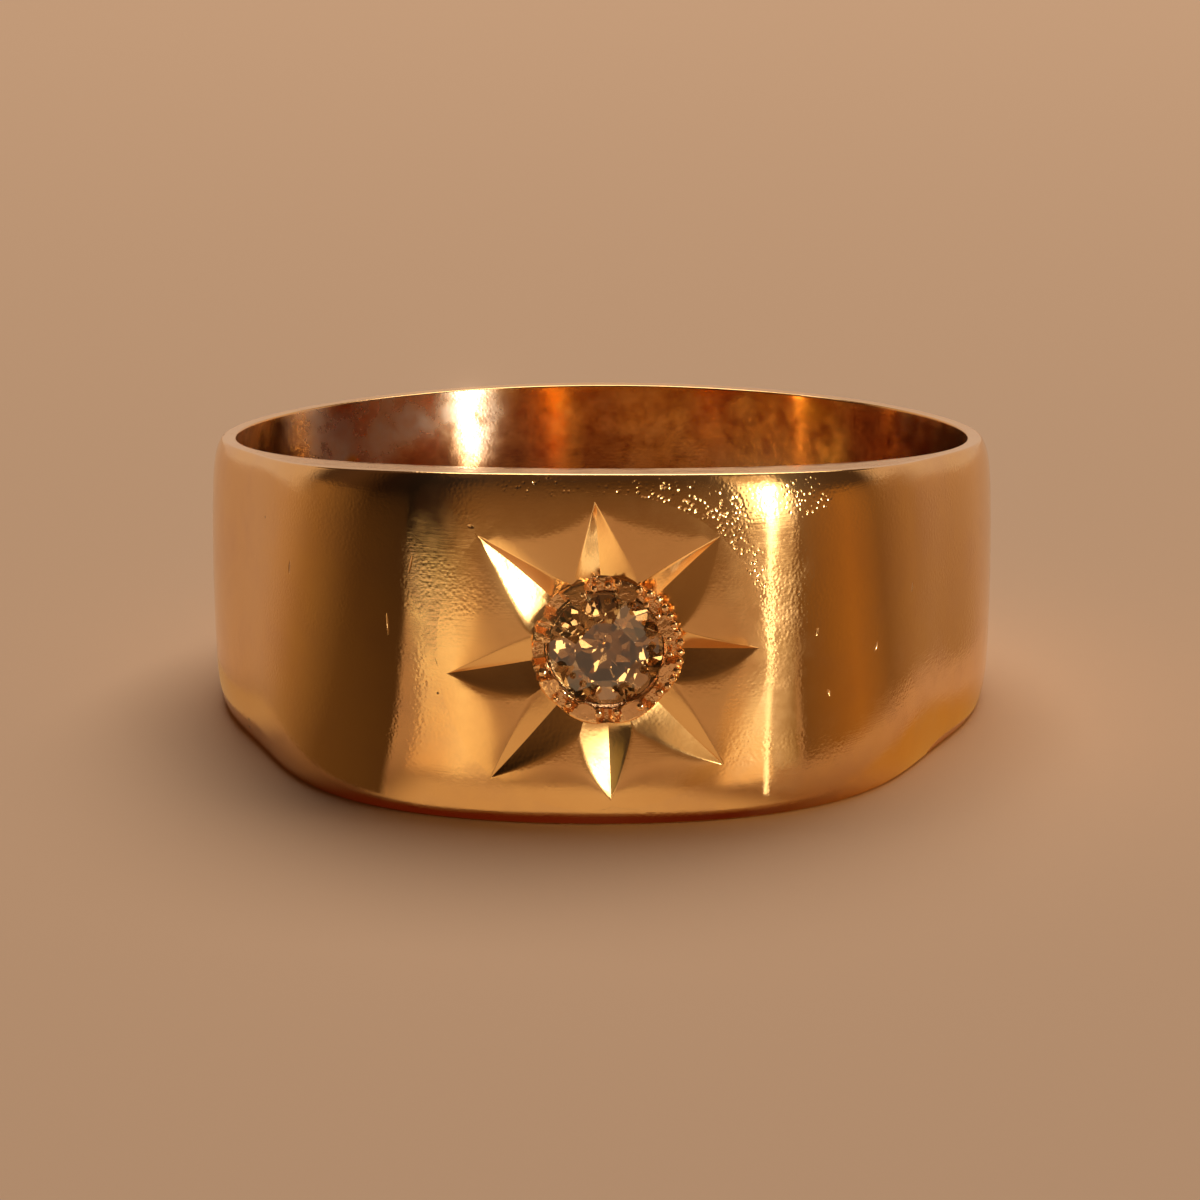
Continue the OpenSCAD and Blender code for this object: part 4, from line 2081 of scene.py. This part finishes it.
@dataclass
class Studio:
    """Floor, lights, cards and the camera.

    The front of the band mirrors the cards that stand or lie before it. The
    cards within the band's bore lie on the floor there, and the inside shows
    them after the light has gone two to four times from wall to wall.
    """

    softboxes: tuple[Softbox, ...] = (
        Softbox("key", 47.5, 14.0, 300.0, 4.0, 10.0, 0.42, "#fff2dc"),
        Softbox("side_box", 47.0, 13.5, 250.0, 79.0, 115.0, 0.06, "#ffeccc"),
        Softbox("upper_box", 47.0, 34.0, 250.0, 79.0, 60.0, 0.008, "#ffd8a6"),
        Softbox("overhead", 170.0, 64.0, 600.0, 500.0, 500.0, 3.1, "#fff1e4", True),
    )
    wings: tuple[Wing, ...] = (
        # Mirrored by the front: the room before it, a dark card of painted shade that
        # gives the dark line at its foot, and the narrow bright streak to the right of the star.
        Wing(
            "card_front", Edge(51.0, 0.0, -50.0, 36.0), Edge(56.0, 44.0, -50.0, 36.0),
            FRONT_LOW, FRONT_HIGH, fade_end=0.1,
        ),
        Wing(
            "card_foot", Edge(10.6, 0.03, -46.0, 42.0), Edge(11.2, 0.03, -46.0, 42.0),
            FOOT_SHADE, FOOT_SHADE, fade_start=0.3, fade_end=0.3, fade_high=0.2,
        ),
        Wing(
            "card_bottom", Edge(11.25, 0.03, -34.0, 30.0), Edge(14.0, 0.03, -30.0, 12.0),
            BOTTOM, BOTTOM, fade_start=0.2, fade_end=0.2, fade_high=0.3,
        ),
        Wing(
            "card_far_left", Edge(51.0, 0.0, -49.0, -64.0), Edge(51.0, 12.0, -49.0, -64.0),
            MID, MID, fade_start=0.05,
        ),
        Wing(
            "streak_low", Edge(11.8, 0.1, 23.4, 24.4), Edge(16.0, 2.87, 30.3, 31.5),
            STREAK, STREAK, fade_start=0.3, fade_end=0.3, fade_high=0.001, strength=2.0,
        ),
        Wing(
            "streak_middle", Edge(16.0, 2.87, 30.3, 31.5), Edge(21.0, 6.17, 34.3, 36.1),
            STREAK, STREAK, fade_start=0.2, fade_end=0.2, fade_high=0.001, strength=3.0,
        ),
        Wing(
            "streak_high", Edge(21.0, 6.17, 34.3, 36.1), Edge(28.0, 10.8, 38.4, 40.8),
            STREAK, STREAK, fade_start=0.2, fade_end=0.2, fade_high=0.1, strength=4.0,
        ),
        # Within the bore: two bright spots and a glow of the inside.
        Wing(
            "ember_left", Edge(4.4, 0.06, -149.0, -134.0), Edge(9.1, 0.06, -149.0, -138.0),
            EMBER, EMBER, fade_start=0.4, fade_end=0.4, fade_high=0.05, strength=18.0,
        ),
        Wing(
            "ember_right", Edge(4.4, 0.06, 14.0, 36.0), Edge(7.4, 0.06, 14.0, 36.0),
            SPARK, SPARK, fade_start=0.3, fade_end=0.3, fade_high=0.2, strength=4.0,
        ),
        Wing(
            "glow_left", Edge(3.8, 0.04, -4.0, -104.0), Edge(9.2, 0.04, -4.0, -104.0),
            GLOW, GLOW, fade_start=0.1, fade_end=0.2, fade_high=0.1, strength=1.3,
        ),
        # Close to the sides: light tones over the floor line.
        Wing(
            "foot_left", Edge(10.05, 0.05, -58.0, -114.0), Edge(11.5, 0.05, -58.0, -114.0),
            FOOT_LEFT, FOOT_LEFT, fade_start=0.3, fade_end=0.3, fade_high=0.1,
        ),
        Wing(
            "foot_right", Edge(9.7, 0.05, 34.0, 100.0), Edge(11.8, 0.05, 34.0, 100.0),
            FOOT_RIGHT, FOOT_RIGHT, fade_start=0.3, fade_end=0.4, fade_high=0.3,
        ),
        # Seen through the stone: the white flashes of its facets.
        glint(1, (46.0, 34.0), (42.0, 44.0), -58.0, -44.0),
        glint(2, (46.0, 40.0), (40.0, 52.0), -16.0, 0.0),
        glint(3, (46.0, 28.0), (44.0, 40.0), 20.0, 36.0),
        glint(4, (46.0, 8.0), (46.0, 16.0), -36.0, -24.0),
        glint(5, (46.0, 8.0), (46.0, 22.0), 56.0, 74.0),
        glint(6, (40.0, 0.5), (42.0, 9.0), 8.0, 18.0),
        # Mirrored by the sides, from light near the floor to dark above, with the
        # bright patches left and right of the star, and the wall behind.
        Wing(
            "card_left", Edge(11.3, 0.1, -27.0, -100.0), Edge(25.0, 11.0, -39.5, -100.0),
            LEFT_LOW, LEFT_HIGH, fade_end=0.5, fade_high=0.1,
        ),
        Wing(
            "card_left_top", Edge(26.0, 5.0, -37.0, -80.0), Edge(26.0, 40.0, -37.0, -80.0),
            TOP, TOP, fade_end=0.6,
        ),
        Wing(
            "patch_left", Edge(14.0, 0.1, -30.0, -5.0), Edge(50.4, 0.1, -46.0, -16.0),
            PATCH_LOW, PATCH_HIGH, fade_end=0.6, fade_high=0.02, strength=1.3,
        ),
        Wing(
            "patch_right", Edge(13.0, 0.1, 10.0, 28.0), Edge(25.0, 0.1, 22.0, 44.0),
            APRON_LOW, APRON_HIGH, fade_start=0.3, fade_end=0.1, fade_high=0.2,
            strength=1.4,
        ),
        Wing(
            "card_flank", Edge(14.0, 0.1, 27.5, 35.0), Edge(25.0, 4.4, 36.5, 46.5),
            FLANK, FLANK, fade_start=0.3,
        ),
        Wing(
            "card_right", Edge(14.0, 0.1, 34.5, 116.0), Edge(25.0, 12.0, 46.0, 116.0),
            RIGHT, RIGHT, fade_end=0.3, fade_high=0.3,
        ),
        Wing(
            "card_back", Edge(200.0, 0.0, 98.0, 262.0), Edge(200.0, 130.0, 98.0, 262.0),
            PALE, PALE, fade_start=0.1, fade_end=0.1, fade_high=0.2,
        ),
    )
    bloom_threshold: float = 1.2
    bloom_strength: float = 0.2
    bloom_size: float = 0.3
    wing_columns: int = 24
    wing_rows: int = 6
    aim_height: float = 4.0
    floor_size: float = 6000.0
    world: str = "#5a4030"
    world_strength: float = 0.6
    lens: float = 111.01
    sensor: float = 36.0
    clip: tuple[float, float] = (1.0, 20000.0)
    camera_mm: tuple[float, float, float] = (2.914, -92.55, 26.78)
    pitch: float = 14.67
    yaw: float = 1.819
    roll: float = -0.175

    def aim_point(self) -> Vector:
        """Middle of the ring, which the lights look at."""
        return Vector((0.0, 0.0, self.aim_height)) * MM

    def add_light(self, box: Softbox) -> None:
        """Hangs one softbox, aimed at the ring.

        Args:
            box: the softbox.
        """
        bearing = math.radians(box.bearing)
        height = math.radians(box.height)
        direction = Vector(
            (
                math.sin(bearing) * math.cos(height),
                -math.cos(bearing) * math.cos(height),
                math.sin(height),
            )
        )
        light = bpy.data.lights.new(box.name, "AREA")
        light.shape = "RECTANGLE"
        light.size = box.width * MM
        light.size_y = box.length * MM
        light.energy = box.power
        light.color = linear(box.colour)[:3]
        lamp = bpy.data.objects.new(box.name, light)
        lamp.location = self.aim_point() + direction * box.distance * MM
        lamp.rotation_euler = direction.to_track_quat("Z", "Y").to_euler()
        lamp.visible_camera = False
        lamp.visible_diffuse = box.on_floor
        bpy.context.scene.collection.objects.link(lamp)

    def wing_material(self, wing: Wing) -> bpy.types.Material:
        """Makes the glowing tones of a card, which fade at its ends and its high edge.

        Args:
            wing: the card.

        Returns:
            The material.
        """
        material = new_material(wing.name)
        place = add_node(material, "ShaderNodeTexCoord").outputs["UV"]
        share = add_node(material, "ShaderNodeSeparateXYZ", links={"Vector": place})
        along = share.outputs["X"]
        up = share.outputs["Y"]
        low = add_ramp(material, wing.low_tones, along)
        high = add_ramp(material, wing.high_tones, along)
        tone = add_node(
            material,
            "ShaderNodeMix",
            {"data_type": "RGBA"},
            {"#0": up, "#6": low.outputs["Color"], "#7": high.outputs["Color"]},
        )
        seen = None
        for value, first, last in (
            (along, 0.0, wing.fade_start),
            (along, 1.0, 1.0 - wing.fade_end),
            (up, 1.0, 1.0 - wing.fade_high),
        ):
            fade = eased(material, value, first, last)
            if seen is not None:
                fade = combined(material, "MULTIPLY", seen, fade)
            seen = fade
        glow = add_node(
            material,
            "ShaderNodeEmission",
            {"Strength": wing.strength},
            {"Color": tone.outputs[2]},
        )
        clear = add_node(material, "ShaderNodeBsdfTransparent")
        sheet = add_node(
            material,
            "ShaderNodeMixShader",
            links={"#0": seen, "#1": clear.outputs["BSDF"], "#2": glow.outputs["Emission"]},
        )
        surface_of(material, sheet.outputs["Shader"])
        return material

    def add_wing(self, wing: Wing) -> None:
        """Stands up one card, out of the camera's sight and casting no shadow.

        Args:
            wing: the card.
        """
        deselect_all()
        bpy.ops.mesh.primitive_grid_add(
            x_subdivisions=self.wing_columns, y_subdivisions=self.wing_rows, size=2.0
        )
        sheet = bpy.context.object
        sheet.name = wing.name
        points = read_points(sheet.data)
        along = (points[:, 0] + 1) / 2
        up = (points[:, 1] + 1) / 2
        write_points(sheet.data, wing.place(along, up) * MM)
        sheet.data.materials.append(self.wing_material(wing))
        sheet.visible_camera = False
        sheet.visible_diffuse = False
        sheet.visible_shadow = False
        sheet.visible_glossy = not wing.stone_only

    def add_floor(self) -> None:
        """Lays the plain floor."""
        deselect_all()
        bpy.ops.mesh.primitive_plane_add(size=self.floor_size * MM, location=(0.0, 0.0, 0.0))
        floor = bpy.context.object
        floor.name = "floor"
        floor.data.materials.append(FloorFinish().build())

    def add_world(self) -> None:
        """Fills the surroundings with one dim warm tone."""
        world = bpy.data.worlds.new("surroundings")
        world.use_nodes = True
        background = world.node_tree.nodes["Background"]
        background.inputs["Color"].default_value = linear(self.world)
        background.inputs["Strength"].default_value = self.world_strength
        bpy.context.scene.world = world

    def add_camera(self) -> None:
        """Stands the camera where the photograph was taken from."""
        data = bpy.data.cameras.new("camera")
        data.lens = self.lens
        data.sensor_width = self.sensor
        data.clip_start = self.clip[0] * MM
        data.clip_end = self.clip[1] * MM
        camera = bpy.data.objects.new("camera", data)
        turn = Matrix.Rotation(math.radians(self.yaw), 4, "Z")
        tilt = Matrix.Rotation(math.radians(90 - self.pitch), 4, "X")
        roll = Matrix.Rotation(math.radians(self.roll), 4, "Z")
        place = Matrix.Translation(Vector(self.camera_mm) * MM)
        camera.matrix_world = place @ turn @ tilt @ roll
        bpy.context.scene.collection.objects.link(camera)
        bpy.context.scene.camera = camera

    def add_bloom(self) -> None:
        """Lets the brightest glints spill over a little, as in a lens."""
        scene = bpy.context.scene
        scene.use_nodes = True
        tree = scene.node_tree
        tree.nodes.clear()
        layers = tree.nodes.new("CompositorNodeRLayers")
        bloom = tree.nodes.new("CompositorNodeGlare")
        bloom.glare_type = "BLOOM"
        bloom.quality = "HIGH"
        bloom.inputs["Threshold"].default_value = self.bloom_threshold
        bloom.inputs["Strength"].default_value = self.bloom_strength
        bloom.inputs["Size"].default_value = self.bloom_size
        result = tree.nodes.new("CompositorNodeComposite")
        tree.links.new(layers.outputs["Image"], bloom.inputs["Image"])
        tree.links.new(bloom.outputs["Image"], result.inputs["Image"])

    def build(self) -> None:
        """Sets up the whole studio."""
        self.add_floor()
        self.add_world()
        self.add_camera()
        for box in self.softboxes:
            self.add_light(box)
        for wing in self.wings:
            self.add_wing(wing)
        self.add_bloom()
        view = bpy.context.scene.view_settings
        view.view_transform = "Standard"
        view.look = "None"
        view.exposure = 0.0


def gold_finishes() -> list[GoldFinish]:
    """Describes how the gold is finished, zone by zone in the order of Zone.

    Returns:
        The finishes.
    """
    return [
        # Outside, polished long ago and rubbed since: a clear mirror with fine
        # grain, smeared highlights, sparkling pecks and a few nicks.
        GoldFinish(
            "gold_band_worn", anisotropy=0.85, roughness=0.115, rough_range=0.07,
            scratch=0.6, dimple=0.03, grain=0.6, film_amount=0.15,
            glitter=GLITTER, nicks=NICKS, pits=PITS,
        ),
        # Inside, where skin leaves its film: a spotty mirror, pale at the upper left,
        # with bright spots of painted highlight and a painted shade, red-brown, at the bottom.
        GoldFinish(
            "gold_inside_worn", colour="#f2b664", film="#efdccb", anisotropy=0.95,
            roughness=0.15, rough_range=0.1, scratch=0.3, dimple=0.05, grain=0.3,
            film_amount=0.08, film_size=0.9, film_rough=0.2, tarnish_amount=0.3,
            foot_shade=0.95, haze=HAZE, painted_highlights=PAINTED_HIGHLIGHTS,
        ),
        # Walls of the rays, cut with a polished graver: flat, each one even tone.
        GoldFinish(
            "gold_bright_cut", roughness=0.16, rough_range=0.06, dimple=0.1, grain=0.3,
        ),
        # Scoops between the rays, scraped and rubbed smooth: a softer mirror.
        GoldFinish("gold_scooped", roughness=0.17, scratch=0.3, dimple=0.1, grain=0.4),
        # Collar and beads, pushed up with a punch and never polished: small
        # uneven dents that sparkle, red where no cloth reaches. Its gold is paler and
        # creamier than the band's, partly a painted highlight for the light its grains catch.
        GoldFinish(
            "gold_setting_cut", colour="#ffd49c", tarnish="#cc8040", roughness=0.13,
            rough_range=0.06, dimple=1.0, dimple_size=0.13, dimple_depth=0.035,
            grain=0.3, tarnish_amount=0.7,
        ),
    ]


def main() -> None:
    """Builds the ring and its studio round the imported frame."""
    logging.basicConfig(level=logging.INFO, format="%(name)s: %(message)s")
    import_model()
    band_maker = Band(
        BandForm(), StarCut(), Setting(), materials=[f.build() for f in gold_finishes()]
    )
    report(band_maker.build())
    report(Stone(band_maker.form, band_maker, DiamondFinish().build()).build())
    Studio().build()
    bpy.context.view_layer.update()


if __name__ == "__main__":
    main()
